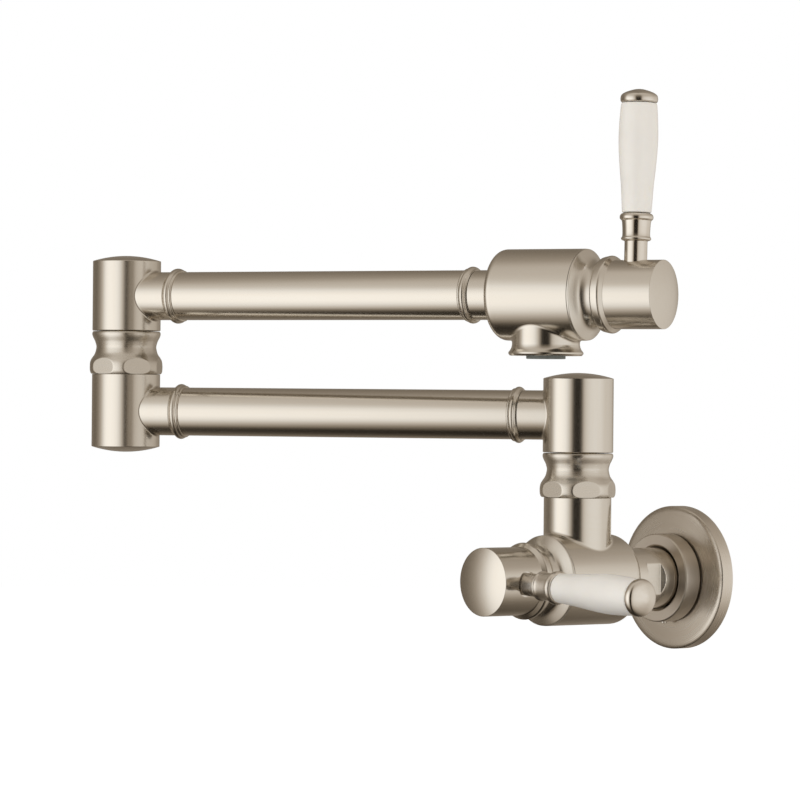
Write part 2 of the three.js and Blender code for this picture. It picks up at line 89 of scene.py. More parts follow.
LOWER = T(0, SHOULDER_Y, 0) @ R(LOWER_ANGLE, "Z")
ELBOW_XY = (
    LOWER_REACH * math.cos(rad(LOWER_ANGLE)),
    SHOULDER_Y + LOWER_REACH * math.sin(rad(LOWER_ANGLE)),
)
UPPER = T(ELBOW_XY[0], ELBOW_XY[1], 0) @ R(UPPER_ANGLE, "Z")
WALL_VALVE = T(0, SHOULDER_Y, 0) @ R(180, "Z")
SPOUT_VALVE = UPPER @ T(UPPER_REACH, 0, UPPER_TUBE_Z) @ R(-90, "Z")


def spline(pts, per=6):
    """Points on a smooth curve through pts, ends included."""
    p = [np.array(q, float) for q in pts]
    p = [2 * p[0] - p[1]] + p + [2 * p[-1] - p[-2]]
    out = []
    for i in range(1, len(p) - 2):
        t = [0.0]
        for a in range(3):
            t.append(t[-1] + max(np.linalg.norm(p[i + a] - p[i + a - 1]), 1e-6) ** 0.5)
        for k in range(per):
            u = t[1] + (t[2] - t[1]) * k / per
            a1 = (t[1] - u) / (t[1] - t[0]) * p[i - 1] + (u - t[0]) / (t[1] - t[0]) * p[i]
            a2 = (t[2] - u) / (t[2] - t[1]) * p[i] + (u - t[1]) / (t[2] - t[1]) * p[i + 1]
            a3 = (t[3] - u) / (t[3] - t[2]) * p[i + 1] + (u - t[2]) / (t[3] - t[2]) * p[i + 2]
            b1 = (t[2] - u) / (t[2] - t[0]) * a1 + (u - t[0]) / (t[2] - t[0]) * a2
            b2 = (t[3] - u) / (t[3] - t[1]) * a2 + (u - t[1]) / (t[3] - t[1]) * a3
            out.append((t[2] - u) / (t[2] - t[1]) * b1 + (u - t[1]) / (t[2] - t[1]) * b2)
    out.append(p[-2])
    return [tuple(float(c) for c in q) for q in out]


def profile(*items):
    """A dense (radius, station) outline. An item is (r, z) for a sharp corner,
    (r, z, f) for a corner with a round of radius f, or a list of points for a
    smooth curve."""
    keys = []
    for it in items:
        if isinstance(it, list):
            keys += [(r, z, 0.0) for r, z in it]
        else:
            keys.append((it[0], it[1], it[2] if len(it) > 2 else 0.0))
    clean = [keys[0]]
    for k in keys[1:]:
        if math.hypot(k[0] - clean[-1][0], k[1] - clean[-1][1]) > 1e-4:
            clean.append(k)
    closed = math.hypot(clean[0][0] - clean[-1][0], clean[0][1] - clean[-1][1]) < 1e-4
    if closed:
        clean = clean[:-1]
    n = len(clean)
    out = []
    for i, (r, z, f) in enumerate(clean):
        if f <= 0 or (not closed and i in (0, n - 1)):
            out.append((r, z))
            continue
        p = np.array((r, z))
        a = np.array(clean[(i - 1) % n][:2]) - p
        b = np.array(clean[(i + 1) % n][:2]) - p
        la, lb = np.linalg.norm(a), np.linalg.norm(b)
        a, b = a / la, b / lb
        half = math.acos(max(-1.0, min(1.0, float(a @ b)))) / 2
        t = min(f / math.tan(half), 0.48 * la, 0.48 * lb)
        f = t * math.tan(half)
        c = p + (a + b) / np.linalg.norm(a + b) * (f / math.sin(half))
        s, e = p + a * t - c, p + b * t - c
        turn = math.pi - 2 * half
        steps = max(3, int(math.ceil(math.degrees(turn) / 11)))
        a0 = math.atan2(s[1], s[0])
        d = math.atan2(s[0] * e[1] - s[1] * e[0], float(s @ e))
        for k in range(steps + 1):
            q = a0 + d * k / steps
            out.append((float(c[0] + f * math.cos(q)), float(c[1] + f * math.sin(q))))
    if closed:
        out.append(out[0])
    return out


def oriented(pts):
    """The outline run so that its outside is on its right, seen with z up."""
    v = 0.0
    for (r0, z0), (r1, z1) in zip(pts, pts[1:]):
        v += (z1 - z0) * (r0 * r0 + r0 * r1 + r1 * r1)
    return pts if v > 0 else pts[::-1]


def refine(pts, lo, hi, step, outer_r):
    """Adds levels to long outer segments between two stations."""
    out = [pts[0]]
    for (r0, z0), (r1, z1) in zip(pts, pts[1:]):
        if z1 > z0 and min(r0, r1) > outer_r and z1 > lo and z0 < hi:
            cuts = [z for z in (lo, hi) if z0 + 1e-6 < z < z1 - 1e-6]
            a, b = max(z0, lo), min(z1, hi)
            k = max(1, int(math.ceil((b - a) / step)))
            cuts += [a + (b - a) * i / k for i in range(1, k)]
            for z in sorted(set(cuts)):
                out.append((r0 + (r1 - r0) * (z - z0) / (z1 - z0), z))
        out.append((r1, z1))
    return out


def normals_of(pts, sharp=38.0):
    """For each outline point the normal of its earlier and of its later side."""
    m = len(pts)
    closed = math.hypot(pts[0][0] - pts[-1][0], pts[0][1] - pts[-1][1]) < 1e-6
    seg = []
    for (r0, z0), (r1, z1) in zip(pts, pts[1:]):
        d = np.array((r1 - r0, z1 - z0))
        ln = max(np.linalg.norm(d), 1e-9)
        seg.append((np.array((d[1], -d[0])) / ln, ln))
    nin, nout = [None] * m, [None] * m
    for i in range(m):
        a = seg[i - 1] if i > 0 else (seg[-1] if closed else None)
        b = seg[i] if i < m - 1 else (seg[0] if closed else None)
        if a is None or b is None:
            only = a or b
            on_axis = pts[i][0] < 1e-6
            v = only[0]
            if on_axis and abs(v[1]) > 0.8:
                v = np.array((0.0, math.copysign(1.0, v[1])))
            nin[i] = nout[i] = v
            continue
        if float(a[0] @ b[0]) > math.cos(rad(sharp)):
            v = a[0] * a[1] + b[0] * b[1]
            v = v / np.linalg.norm(v)
            nin[i] = nout[i] = v
        else:
            nin[i], nout[i] = a[0], b[0]
    return nin, nout


class Shell:
    """Faces with their own corner positions and normals, welded at the end."""

    def __init__(self):
        self.co, self.no = [], []

    def face(self, pts, nos):
        pts, nos = list(pts), list(nos)
        while len(pts) < 4:
            pts.append(pts[-1])
            nos.append(nos[-1])
        self.co.append(np.array([pts], float))
        self.no.append(np.array([nos], float))

    def grid(self, P, N0, N1=None):
        """Quads between rows P[i] and P[i+1]; N0 is each row's normal towards
        the next row, N1 its normal towards the row before."""
        N1 = N0 if N1 is None else N1
        q = np.stack([P[:-1, :-1], P[:-1, 1:], P[1:, 1:], P[1:, :-1]], axis=2)
        n = np.stack([N0[:-1, :-1], N0[:-1, 1:], N1[1:, 1:], N1[1:, :-1]], axis=2)
        self.co.append(q.reshape(-1, 4, 3))
        self.no.append(n.reshape(-1, 4, 3))

    def mesh(self, name, turn):
        co = np.concatenate(self.co)
        no = np.concatenate(self.no)
        flat = co.reshape(-1, 3)
        key = np.round((flat + 3.17e-6) * 2e4).astype(np.int64)
        _, first, inv = np.unique(key, axis=0, return_index=True, return_inverse=True)
        verts = flat[first]
        idx = inv.reshape(-1, 4)
        p = verts[idx]
        g = np.cross(p[:, 2] - p[:, 0], p[:, 3] - p[:, 1])
        back = np.einsum("ij,ij->i", g, no.sum(1)) < 0
        idx[back] = idx[back][:, ::-1]
        no[back] = no[back][:, ::-1]
        faces, loops = [], []
        for f, (row, nn) in enumerate(zip(idx.tolist(), no)):
            keep = [c for c in range(4) if row[c] != row[c - 1]]
            if len(keep) < 3 or len({row[c] for c in keep}) < len(keep):
                continue
            faces.append([row[c] for c in keep])
            loops.append(nn[keep])
        used = np.unique(np.concatenate([np.array(f) for f in faces]))
        again = np.full(len(verts), -1)
        again[used] = np.arange(len(used))
        faces = [[int(again[v]) for v in f] for f in faces]
        m3 = np.array(turn.to_3x3())
        me = bpy.data.meshes.new(name)
        me.from_pydata((verts[used] @ m3.T * MM).tolist(), [], faces)
        me.polygons.foreach_set("use_smooth", [True] * len(me.polygons))
        n = np.concatenate(loops) @ m3.T
        n = n / np.maximum(np.linalg.norm(n, axis=1, keepdims=True), 1e-9)
        me.normals_split_custom_set(n.tolist())
        me.update()
        return me


def turned(shell, pts, n, shape=None, skip=None):
    """Turns an outline about Z. shape(theta, r, z) may change the radius of
    the outer wall; skip(i, j) leaves quads out."""
    pts = oriented(pts)
    nin, nout = normals_of(pts)
    th = np.linspace(0, 2 * math.pi, n + 1)
    ct, st = np.cos(th), np.sin(th)
    r = np.array([p[0] for p in pts])[:, None]
    z = np.array([p[1] for p in pts])[:, None]

    def rows(nn, rr):
        nr = np.array([v[0] for v in nn])[:, None]
        nz = np.array([v[1] for v in nn])[:, None]
        if shape is None:
            return np.stack([nr * ct, nr * st, nz + 0 * ct], axis=2)
        # slope of the changed radius along the outline and around it
        tr, tz, e = -nz, nr, 1e-3
        ds = (shape(th, rr + tr * e, z + tz * e) - shape(th, rr - tr * e, z - tz * e)) / (2 * e)
        dt = (shape(th + 1e-4, rr, z) - shape(th - 1e-4, rr, z)) / 2e-4
        q = shape(th, rr, z)
        ts = np.stack([ds * ct, ds * st, tz + 0 * ct], axis=2)
        tt = np.stack([dt * ct - q * st, dt * st + q * ct, 0 * ct + 0 * q], axis=2)
        c = np.cross(tt, ts)
        return c / np.maximum(np.linalg.norm(c, axis=2, keepdims=True), 1e-12)

    rr = r + 0 * ct
    q = rr if shape is None else shape(th, rr, z + 0 * ct)
    P = np.stack([q * ct, q * st, z + 0 * ct], axis=2)
    N0, N1 = rows(nout, rr), rows(nin, rr)
    P[:, -1] = P[:, 0]
    if skip is None:
        shell.grid(P, N0, N1)
    else:
        for i in range(len(pts) - 1):
            for j in range(n):
                if not skip(i, j):
                    shell.face(
                        [P[i, j], P[i, j + 1], P[i + 1, j + 1], P[i + 1, j]],
                        [N0[i, j], N0[i, j + 1], N1[i + 1, j + 1], N1[i + 1, j]],
                    )
    return pts, nin, nout


def tee(shell, main, z0, r, f, branch, n=144, half=None, wide=None, inward=False):
    """A turned body about Z with a round branch (or a blind hole) along +X at
    station z0. f is the fillet of the joint, or the rounding of the hole's
    mouth. branch is the branch's outline, (radius, x), from its first full
    round section outwards."""
    half = half if half is not None else r + f + 2.0
    lo, hi = z0 - half, z0 + half
    main = oriented(main)
    big = max(p[0] for p in main)
    main = refine(main, lo, hi, 1.5, big * 0.62)
    nin, nout = normals_of(main)
    wall = [i for i in range(len(main) - 1)
            if main[i + 1][1] > main[i][1] and min(main[i][0], main[i + 1][0]) > big * 0.62
            and main[i][1] >= lo - 1e-6 and main[i + 1][1] <= hi + 1e-6]
    i0, i1 = wall[0], wall[-1] + 1
    big_r = max(main[i][0] for i in range(i0, i1 + 1))
    step = 2 * math.pi / n
    m = wide if wide is not None else int(math.ceil((math.asin(min(0.99, (r + f) / (big_r + f))) + 0.14) / step))

    def out_of(i, j):
        return i0 <= i < i1 and (j < m or j >= n - m)

    turned(shell, main, n, skip=out_of)
    zs = [main[i][1] for i in range(i0, i1 + 1)]

    def at(z):
        for i in range(i0, i1):
            a, b = main[i], main[i + 1]
            if z <= b[1] + 1e-9:
                t = (z - a[1]) / (b[1] - a[1])
                t = min(1.0, max(0.0, t))
                v = nout[i] * (1 - t) + nin[i + 1] * t
                return a[0] + (b[0] - a[0]) * t, v / np.linalg.norm(v)
        return main[i1][0], nin[i1]

    edge = [(j * step, zs[0]) for j in range(-m, m)]
    edge += [(m * step, z) for z in zs[:-1]]
    edge += [(j * step, zs[-1]) for j in range(m, -m, -1)]
    edge += [(-m * step, z) for z in zs[::-1][:-1]]
    phi = [math.atan2(z - z0, t * big_r) for t, z in edge]

    def on_main(t, z):
        rr, v = at(z)
        return (np.array((rr * math.cos(t), rr * math.sin(t), z)),
                np.array((v[0] * math.cos(t), v[0] * math.sin(t), v[1])))

    rows_p, rows_n = [], []
    mouth = []
    for a in phi:
        if inward:
            y, dz = (r + f) * math.cos(a), (r + f) * math.sin(a)
            mouth.append((math.asin(y / big_r), z0 + dz))
        else:
            y, dz = (r + f) * math.cos(a), (r + f) * math.sin(a)
            x = math.sqrt((big_r + f) ** 2 - y * y)
            mouth.append((math.atan2(y, x), z0 + dz))
    for k in range(7):
        s = (k / 6) ** 0.8
        pn = [on_main(t0 + (t1 - t0) * s, a0 + (a1 - a0) * s)
              for (t0, a0), (t1, a1) in zip(edge, mouth)]
        rows_p.append([p for p, _ in pn])
        rows_n.append([v for _, v in pn])
    if not inward:
        rows_n[-1] = [np.array((math.cos(t), math.sin(t), 0.0)) for t, _ in mouth]
    starts = []
    arcs = 7
    if inward:
        for k in range(1, arcs + 1):
            q = math.pi / 2 * k / arcs
            ps, ns = [], []
            for a in phi:
                rr = r + f * (1 - math.sin(q))
                y, dz = rr * math.cos(a), rr * math.sin(a)
                x = math.sqrt(big_r ** 2 - y * y) - f * (1 - math.cos(q))
                t = math.asin(y / big_r)
                up = np.array((math.cos(t), math.sin(t), 0.0))
                side = np.array((0.0, -math.cos(a), -math.sin(a)))
                v = up * math.cos(q) + side * math.sin(q)
                ps.append(np.array((x, y, z0 + dz)))
                ns.append(v / np.linalg.norm(v))
            rows_p.append(ps)
            rows_n.append(ns)
    else:
        for k in range(1, arcs + 1):
            q = k / arcs
            ps, ns = [], []
            for a in phi:
                y, dz = (r + f) * math.cos(a), (r + f) * math.sin(a)
                x = math.sqrt((big_r + f) ** 2 - y * y)
                c = np.array((x, y, z0 + dz))
                u = -np.array((x, y, 0.0)) / (big_r + f)
                w = -np.array((0.0, math.cos(a), math.sin(a)))
                ang = math.acos(max(-1.0, min(1.0, float(u @ w))))
                if ang < 1e-6:
                    d = u
                else:
                    d = (math.sin((1 - q) * ang) * u + math.sin(q * ang) * w) / math.sin(ang)
                ps.append(c + d * f)
                ns.append(-d)
            rows_p.append(ps)
            rows_n.append(ns)
    close = lambda rows: np.array([row + [row[0]] for row in rows])
    shell.grid(close(rows_p), close(rows_n))
    last_p = rows_p[-1]
    side = [np.array((0.0, math.cos(a), math.sin(a))) for a in phi]
    sign = -1.0 if inward else 1.0
    b = branch
    ring_p = [np.array((b[0][1], b[0][0] * math.cos(a), z0 + b[0][0] * math.sin(a))) for a in phi]
    mid = [last_p]
    for k in range(1, 4):
        mid.append([p + (q - p) * k / 3 for p, q in zip(last_p, ring_p)])
    shell.grid(close(mid), close([[sign * s for s in side]] * 4))
    # the branch's own outline, its outside on the side away from its axis
    bn_in, bn_out = normals_of([(p[0], p[1]) for p in b])
    P = np.array([[np.array((x, rr * math.cos(a), z0 + rr * math.sin(a))) for a in phi + phi[:1]]
                  for rr, x in b])

    def spin(nn):
        return np.array([[np.array((v[1] * sign, v[0] * sign * math.cos(a), v[0] * sign * math.sin(a)))
                          for a in phi + phi[:1]] for v in nn])

    if inward:
        # run the outline inwards: the wall faces the hole's axis, its floor faces out
        N = []
        for i in range(len(b)):
            N.append(None)
        N0 = np.array([[np.array((0.0, -math.cos(a), -math.sin(a))) for a in phi + phi[:1]] for _ in b])
        NF = np.array([[np.array((1.0, 0.0, 0.0)) for a in phi + phi[:1]] for _ in b])
        for i in range(len(b) - 1):
            flat = abs(b[i + 1][1] - b[i][1]) < 1e-6
            use = NF if flat else N0
            shell.grid(P[i:i + 2], use[i:i + 2])
    else:
        shell.grid(P, spin(bn_out), spin(bn_in))


def straightened(where):
    """The object's own rotation, and what is left to turn in its mesh. A piece
    whose axis is along X, Y or Z, or nearly, has its object square to them."""
    r = where.to_3x3().to_4x4()
    axis = r @ Vector((0, 0, 1))
    for v, own in (((0, 0, 1), R(0, "X")), ((0, 0, -1), R(180, "X")), ((0, 1, 0), R(-90, "X")),
                   ((0, -1, 0), R(90, "X")), ((1, 0, 0), R(90, "Y")), ((-1, 0, 0), R(-90, "Y"))):
        if axis.dot(Vector(v)) > math.cos(rad(6)):
            return own, own.inverted() @ r
    return r, Matrix.Identity(4)


def place(name, shell, where, body, nodes, finish):
    own, turn = straightened(where)
    me = shell.mesh(name, turn)
    ob = bpy.data.objects.new(name, me)
    bpy.context.scene.collection.objects.link(ob)
    ob.matrix_world = Matrix.Translation(where.translation * MM) @ own
    me.materials.append(finish)
    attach(ob, body)
    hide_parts(*nodes)
    MADE.append(ob)
    return ob


MADE = []


def lathe(name, pts, where, body, nodes, finish, n=128, shape=None):
    sh = Shell()
    turned(sh, pts, n, shape)
    return place(name, sh, where, body, nodes, finish)


# ------------------------------------------------------------------ materials
def new_material(name):
    mat = bpy.data.materials.new(name)
    mat.use_nodes = True
    nt = mat.node_tree
    nt.nodes.clear()
    out = nt.nodes.new("ShaderNodeOutputMaterial")
    bsdf = nt.nodes.new("ShaderNodeBsdfPrincipled")
    nt.links.new(bsdf.outputs["BSDF"], out.inputs["Surface"])
    return mat, nt, bsdf


def node(nt, kind, **values):
    nd = nt.nodes.new(kind)
    for k, v in values.items():
        if k in ("operation", "noise_dimensions", "direction_type", "axis", "blend_type",
                 "data_type", "interpolation_type", "clamp", "invert", "feature", "distance"):
            setattr(nd, k, v)
        else:
            nd.inputs[k].default_value = v
    return nd


def math_node(nt, op, a, b=None, c=None):
    nd = nt.nodes.new("ShaderNodeMath")
    nd.operation = op
    for i, v in enumerate((a, b, c)):
        if v is None:
            continue
        if isinstance(v, (int, float)):
            nd.inputs[i].default_value = v
        else:
            nt.links.new(v, nd.inputs[i])
    return nd.outputs[0]


def grain_vector(nt, turned_marks):
    """Object-space coordinates stretched along the brushing, in metres."""
    tc = nt.nodes.new("ShaderNodeTexCoord")
    if not turned_marks:
        mp = node(nt, "ShaderNodeMapping", Scale=(1.0, 1.0, 0.016))
        nt.links.new(tc.outputs["Object"], mp.inputs["Vector"])
        return mp.outputs["Vector"], tc
    sep = nt.nodes.new("ShaderNodeSeparateXYZ")
    nt.links.new(tc.outputs["Object"], sep.inputs[0])
    x, y, z = sep.outputs
    rho = math_node(nt, "SQRT", math_node(nt, "ADD", math_node(nt, "MULTIPLY", x, x),
                                          math_node(nt, "MULTIPLY", y, y)))
    safe = math_node(nt, "MAXIMUM", rho, 0.0004)
    cs = math_node(nt, "MULTIPLY", math_node(nt, "DIVIDE", x, safe), 0.0006)
    sn = math_node(nt, "MULTIPLY", math_node(nt, "DIVIDE", y, safe), 0.0006)
    comb = nt.nodes.new("ShaderNodeCombineXYZ")
    nt.links.new(math_node(nt, "ADD", rho, math_node(nt, "MULTIPLY", z, 0.83)), comb.inputs[0])
    nt.links.new(cs, comb.inputs[1])
    nt.links.new(sn, comb.inputs[2])
    return comb.outputs[0], tc


def metal(name, colour, rough, spread, aniso, marks, bump, turned_marks=False, warm=0.05):
    """Plated metal with fine brushing along its axis, or around it."""
    mat, nt, bsdf = new_material(name)
    bsdf.inputs["Metallic"].default_value = 1.0
    bsdf.inputs["Anisotropic"].default_value = aniso
    if turned_marks:
        bsdf.inputs["Anisotropic Rotation"].default_value = 0.25
    vec, tc = grain_vector(nt, turned_marks)
    fine = node(nt, "ShaderNodeTexNoise", Scale=2600.0, Detail=3.0, Roughness=0.6)
    broad = node(nt, "ShaderNodeTexNoise", Scale=520.0, Detail=2.0, Roughness=0.5)
    cloud = node(nt, "ShaderNodeTexNoise", Scale=42.0, Detail=3.0, Roughness=0.55)
    nt.links.new(vec, fine.inputs["Vector"])
    nt.links.new(vec, broad.inputs["Vector"])
    nt.links.new(tc.outputs["Object"], cloud.inputs["Vector"])
    mix = math_node(nt, "ADD", math_node(nt, "MULTIPLY", fine.outputs["Fac"], 0.6),
                    math_node(nt, "MULTIPLY", broad.outputs["Fac"], 0.4))
    # roughness: brushing plus a slow change as from handling and polishing
    rg = math_node(nt, "MULTIPLY_ADD", math_node(nt, "SUBTRACT", mix, 0.5), spread, rough)
    rg = math_node(nt, "MULTIPLY_ADD", math_node(nt, "SUBTRACT", cloud.outputs["Fac"], 0.5), spread * 0.8, rg)
    nt.links.new(rg, bsdf.inputs["Roughness"])
    # colour: the plating is a little warmer and darker in the scratches
    ramp = nt.nodes.new("ShaderNodeValToRGB")
    ramp.color_ramp.elements[0].position = 0.28
    ramp.color_ramp.elements[1].position = 0.72
    lo = [c * (1 - marks) * k for c, k in zip(colour, (1.0, 1 - warm * 0.5, 1 - warm))]
    hi = [min(1.0, c * (1 + marks * 0.8)) for c in colour]
    ramp.color_ramp.elements[0].color = (*lo, 1)
    ramp.color_ramp.elements[1].color = (*hi, 1)
    nt.links.new(mix, ramp.inputs["Fac"])
    nt.links.new(ramp.outputs["Color"], bsdf.inputs["Base Color"])
    if bump > 0:
        bp = node(nt, "ShaderNodeBump", Strength=bump, Distance=0.00004)
        nt.links.new(mix, bp.inputs["Height"])
        nt.links.new(bp.outputs["Normal"], bsdf.inputs["Normal"])
    tg = nt.nodes.new("ShaderNodeTangent")
    tg.direction_type = "RADIAL"
    tg.axis = "Z"
    nt.links.new(tg.outputs["Tangent"], bsdf.inputs["Tangent"])
    return mat


NICKEL = (0.70, 0.664, 0.6)
satin = metal("satin_nickel_drawn", NICKEL, 0.185, 0.05, 0.15, 0.006, 0.05)
satin_soft = metal("satin_nickel_elbow", NICKEL, 0.2, 0.05, 0.15, 0.006, 0.05)
satin_cone = metal("satin_nickel_cone", NICKEL, 0.24, 0.05, 0.4, 0.008, 0.04, turned_marks=True)
satin_wall = metal("satin_nickel_wall", (0.70, 0.655, 0.585), 0.27, 0.06, 0.55, 0.014, 0.06, turned_marks=True)
satin_collar = metal("satin_nickel_collar", (0.72, 0.67, 0.60), 0.32, 0.06, 0.4, 0.014, 0.06, turned_marks=True)
satin_nut = metal("satin_nickel_nut", NICKEL, 0.27, 0.04, 0.8, 0.006, 0.04, turned_marks=True)
satin_turned = metal("satin_nickel_turned", NICKEL, 0.21, 0.05, 0.5, 0.012, 0.05, turned_marks=True)
polished = metal("polished_nickel", (0.73, 0.69, 0.625), 0.14, 0.04, 0.3, 0.01, 0.04, turned_marks=True)
polished_stem = metal("polished_nickel_stem", (0.75, 0.71, 0.645), 0.27, 0.04, 0.8, 0.01, 0.04, turned_marks=True)
brass = metal("brass_turned", (0.62, 0.42, 0.16), 0.34, 0.08, 0.4, 0.08, 0.2, turned_marks=True)


def glazed():
    mat, nt, bsdf = new_material("porcelain_glazed")
    tc = nt.nodes.new("ShaderNodeTexCoord")
    tint = node(nt, "ShaderNodeTexNoise", Scale=60.0, Detail=4.0, Roughness=0.6)
    nt.links.new(tc.outputs["Object"], tint.inputs["Vector"])
    ramp = nt.nodes.new("ShaderNodeValToRGB")
    ramp.color_ramp.elements[0].position = 0.3
    ramp.color_ramp.elements[1].position = 0.7
    ramp.color_ramp.elements[0].color = (0.83, 0.82, 0.79, 1)
    ramp.color_ramp.elements[1].color = (0.87, 0.862, 0.835, 1)
    nt.links.new(tint.outputs["Fac"], ramp.inputs["Fac"])
    nt.links.new(ramp.outputs["Color"], bsdf.inputs["Base Color"])
    wave = node(nt, "ShaderNodeTexNoise", Scale=160.0, Detail=2.0, Roughness=0.5)
    nt.links.new(tc.outputs["Object"], wave.inputs["Vector"])
    bp = node(nt, "ShaderNodeBump", Strength=0.05, Distance=0.0002)
    nt.links.new(wave.outputs["Fac"], bp.inputs["Height"])
    nt.links.new(bp.outputs["Normal"], bsdf.inputs["Coat Normal"])
    rg = math_node(nt, "MULTIPLY_ADD", wave.outputs["Fac"], 0.12, 0.34)
    nt.links.new(rg, bsdf.inputs["Roughness"])
    bsdf.inputs["Specular IOR Level"].default_value = 0.35
    bsdf.inputs["Coat Weight"].default_value = 0.55
    bsdf.inputs["Coat Roughness"].default_value = 0.12
    bsdf.inputs["Subsurface Weight"].default_value = 0.12
    bsdf.inputs["Subsurface Radius"].default_value = (0.002, 0.0017, 0.0012)
    return mat


def plain(name, lo, hi, rough, spread, scale, bump, spec=0.5):
    """Rubber, plastic and unglazed ceramic: mottled colour and a fine surface."""
    mat, nt, bsdf = new_material(name)
    tc = nt.nodes.new("ShaderNodeTexCoord")
    a = node(nt, "ShaderNodeTexNoise", Scale=scale, Detail=5.0, Roughness=0.6)
    nt.links.new(tc.outputs["Object"], a.inputs["Vector"])
    ramp = nt.nodes.new("ShaderNodeValToRGB")
    ramp.color_ramp.elements[0].position = 0.3
    ramp.color_ramp.elements[1].position = 0.7
    ramp.color_ramp.elements[0].color = (*lo, 1)
    ramp.color_ramp.elements[1].color = (*hi, 1)
    nt.links.new(a.outputs["Fac"], ramp.inputs["Fac"])
    nt.links.new(ramp.outputs["Color"], bsdf.inputs["Base Color"])
    nt.links.new(math_node(nt, "MULTIPLY_ADD", a.outputs["Fac"], spread, rough), bsdf.inputs["Roughness"])
    bsdf.inputs["Specular IOR Level"].default_value = spec
    bp = node(nt, "ShaderNodeBump", Strength=bump, Distance=0.0001)
    nt.links.new(a.outputs["Fac"], bp.inputs["Height"])
    nt.links.new(bp.outputs["Normal"], bsdf.inputs["Normal"])
    return mat


porcelain = glazed()
rubber = plain("rubber_black", (0.012, 0.011, 0.011), (0.02, 0.019, 0.018), 0.6, 0.25, 900.0, 0.4)
washer = plain("washer_plastic", (0.02, 0.018, 0.017), (0.032, 0.03, 0.028), 0.42, 0.2, 700.0, 0.3)
aerator = plain("aerator_plastic", (0.17, 0.185, 0.175), (0.21, 0.225, 0.212), 0.42, 0.2, 600.0, 0.25)
disc_ceramic = plain("disc_ceramic", (0.66, 0.65, 0.61), (0.72, 0.71, 0.67), 0.2, 0.12, 500.0, 0.1)

# the CAD nodes that stay get the same finishes
CARRIED = {
    "brass": brass, "rubber": rubber, "washer_plastic": washer, "aerator_plastic": aerator,
    "disc_ceramic": disc_ceramic, "porcelain": porcelain,
    "satin_nickel": satin, "polished_nickel": polished,
}

# ------------------------------------------------------------- shared outlines
NUT_OUTER = [
    (16.05, 0.14), (16.45, 0.62), (16.78, 1.3), (16.95, 2.1), (17.0, 3.2), (16.95, 4.2),
    (16.8, 5.2), (16.5, 6.1), (16.04, 6.9), (15.47, 7.8), (14.83, 8.7), (14.36, 9.6),
    (13.97, 11.0), (13.76, 12.2), (13.79, 12.9), (13.99, 13.8), (14.4, 15.1), (14.89, 16.1),
    (15.33, 17.0), (15.64, 17.9), (15.72, 18.5), (15.62, 19.1), (15.45, 19.45),
]
FLAT = 15.75


def soft_min(a, b, k):
    h = np.clip(0.5 + 0.5 * (b - a) / k, 0, 1)
    return b * (1 - h) + a * h - k * h * (1 - h)


def nut_flats(th, r, z):
    """Six wrench flats near the nut's foot, their edges lightly rounded."""
    local = (th + math.pi / 6) % (math.pi / 3) - math.pi / 6
    flat = FLAT / np.cos(local)
    fade = np.clip((z - 8.2) / 1.0, 0, 1)
    flat = flat + fade * 6.0
    lowered = soft_min(r, flat, 0.16)
    return np.where((r > 13.2) & (z < 9.5), np.minimum(lowered, r), r)


def swivel_nut(name, where, body, node_name):
    outer = spline(NUT_OUTER, 4)
    pts = profile((12.6, 0.08), (15.85, 0.08, 0.1), outer, (15.2, SWIVEL_H - 0.3, 0.2),
                  (12.8, SWIVEL_H - 0.3), (12.8, 18.4), (8.6, 18.4), (8.6, 16.0), (11.5, 16.0),
                  (11.5, 9.75), (12.5, 9.75), (12.6, 0.08))
    lathe(name, pts, where, body, [node_name], satin_nut, n=360, shape=nut_flats)


def bead_outline():
    return profile(
        (9.05, -2.46), (11.3, -2.46, 0.08),
        spline([(11.55, -2.28), (11.82, -1.98), (11.9, -1.65), (11.86, -1.4), (11.74, -1.22)], 4),
        spline([(11.78, -1.14), (12.06, -0.92), (12.45, -0.48), (12.6, 0.08), (12.52, 0.6),
                (12.2, 1.1), (11.75, 1.5), (11.42, 1.85)], 4),
        (11.25, 2.36, 0.1), (9.05, 2.36), (9.05, -2.46))


def bead(name, where, body, node_name):
    lathe(name, bead_outline(), where, body, [node_name], satin_turned, n=144)


def hub_outline(cut):
    """Deep cup with a bead round its rim and a domed face."""
    top, rim = 58.6 - cut, 56.75 - cut
    dome = []
    rho = (14.85 ** 2 + (top - rim) ** 2) / (2 * (top - rim))
    for k in range(14):
        rr = 14.85 * (1 - k / 13)
        dome.append((rr, top - rho + math.sqrt(rho * rho - rr * rr)))
    return profile(
        (0, 48.8), (3.8, 48.8), (3.8, 36.0), (11.5, 36.0), (11.5, 28.5), (15.8, 28.5, 0.2),
        spline([(16.12, 28.6), (16.32, 28.95), (16.5, 29.6), (16.72, 30.6), (16.9, 31.5), (16.97, 32.0),
                (16.9, 32.42), (16.7, 32.75)], 4),
        (16.55, 32.95, 0.1), (15.1, 34.15), (HUB_R, 34.25), (HUB_R, 35.5),
        (HUB_R, rim - 0.1, 0.3), dome)


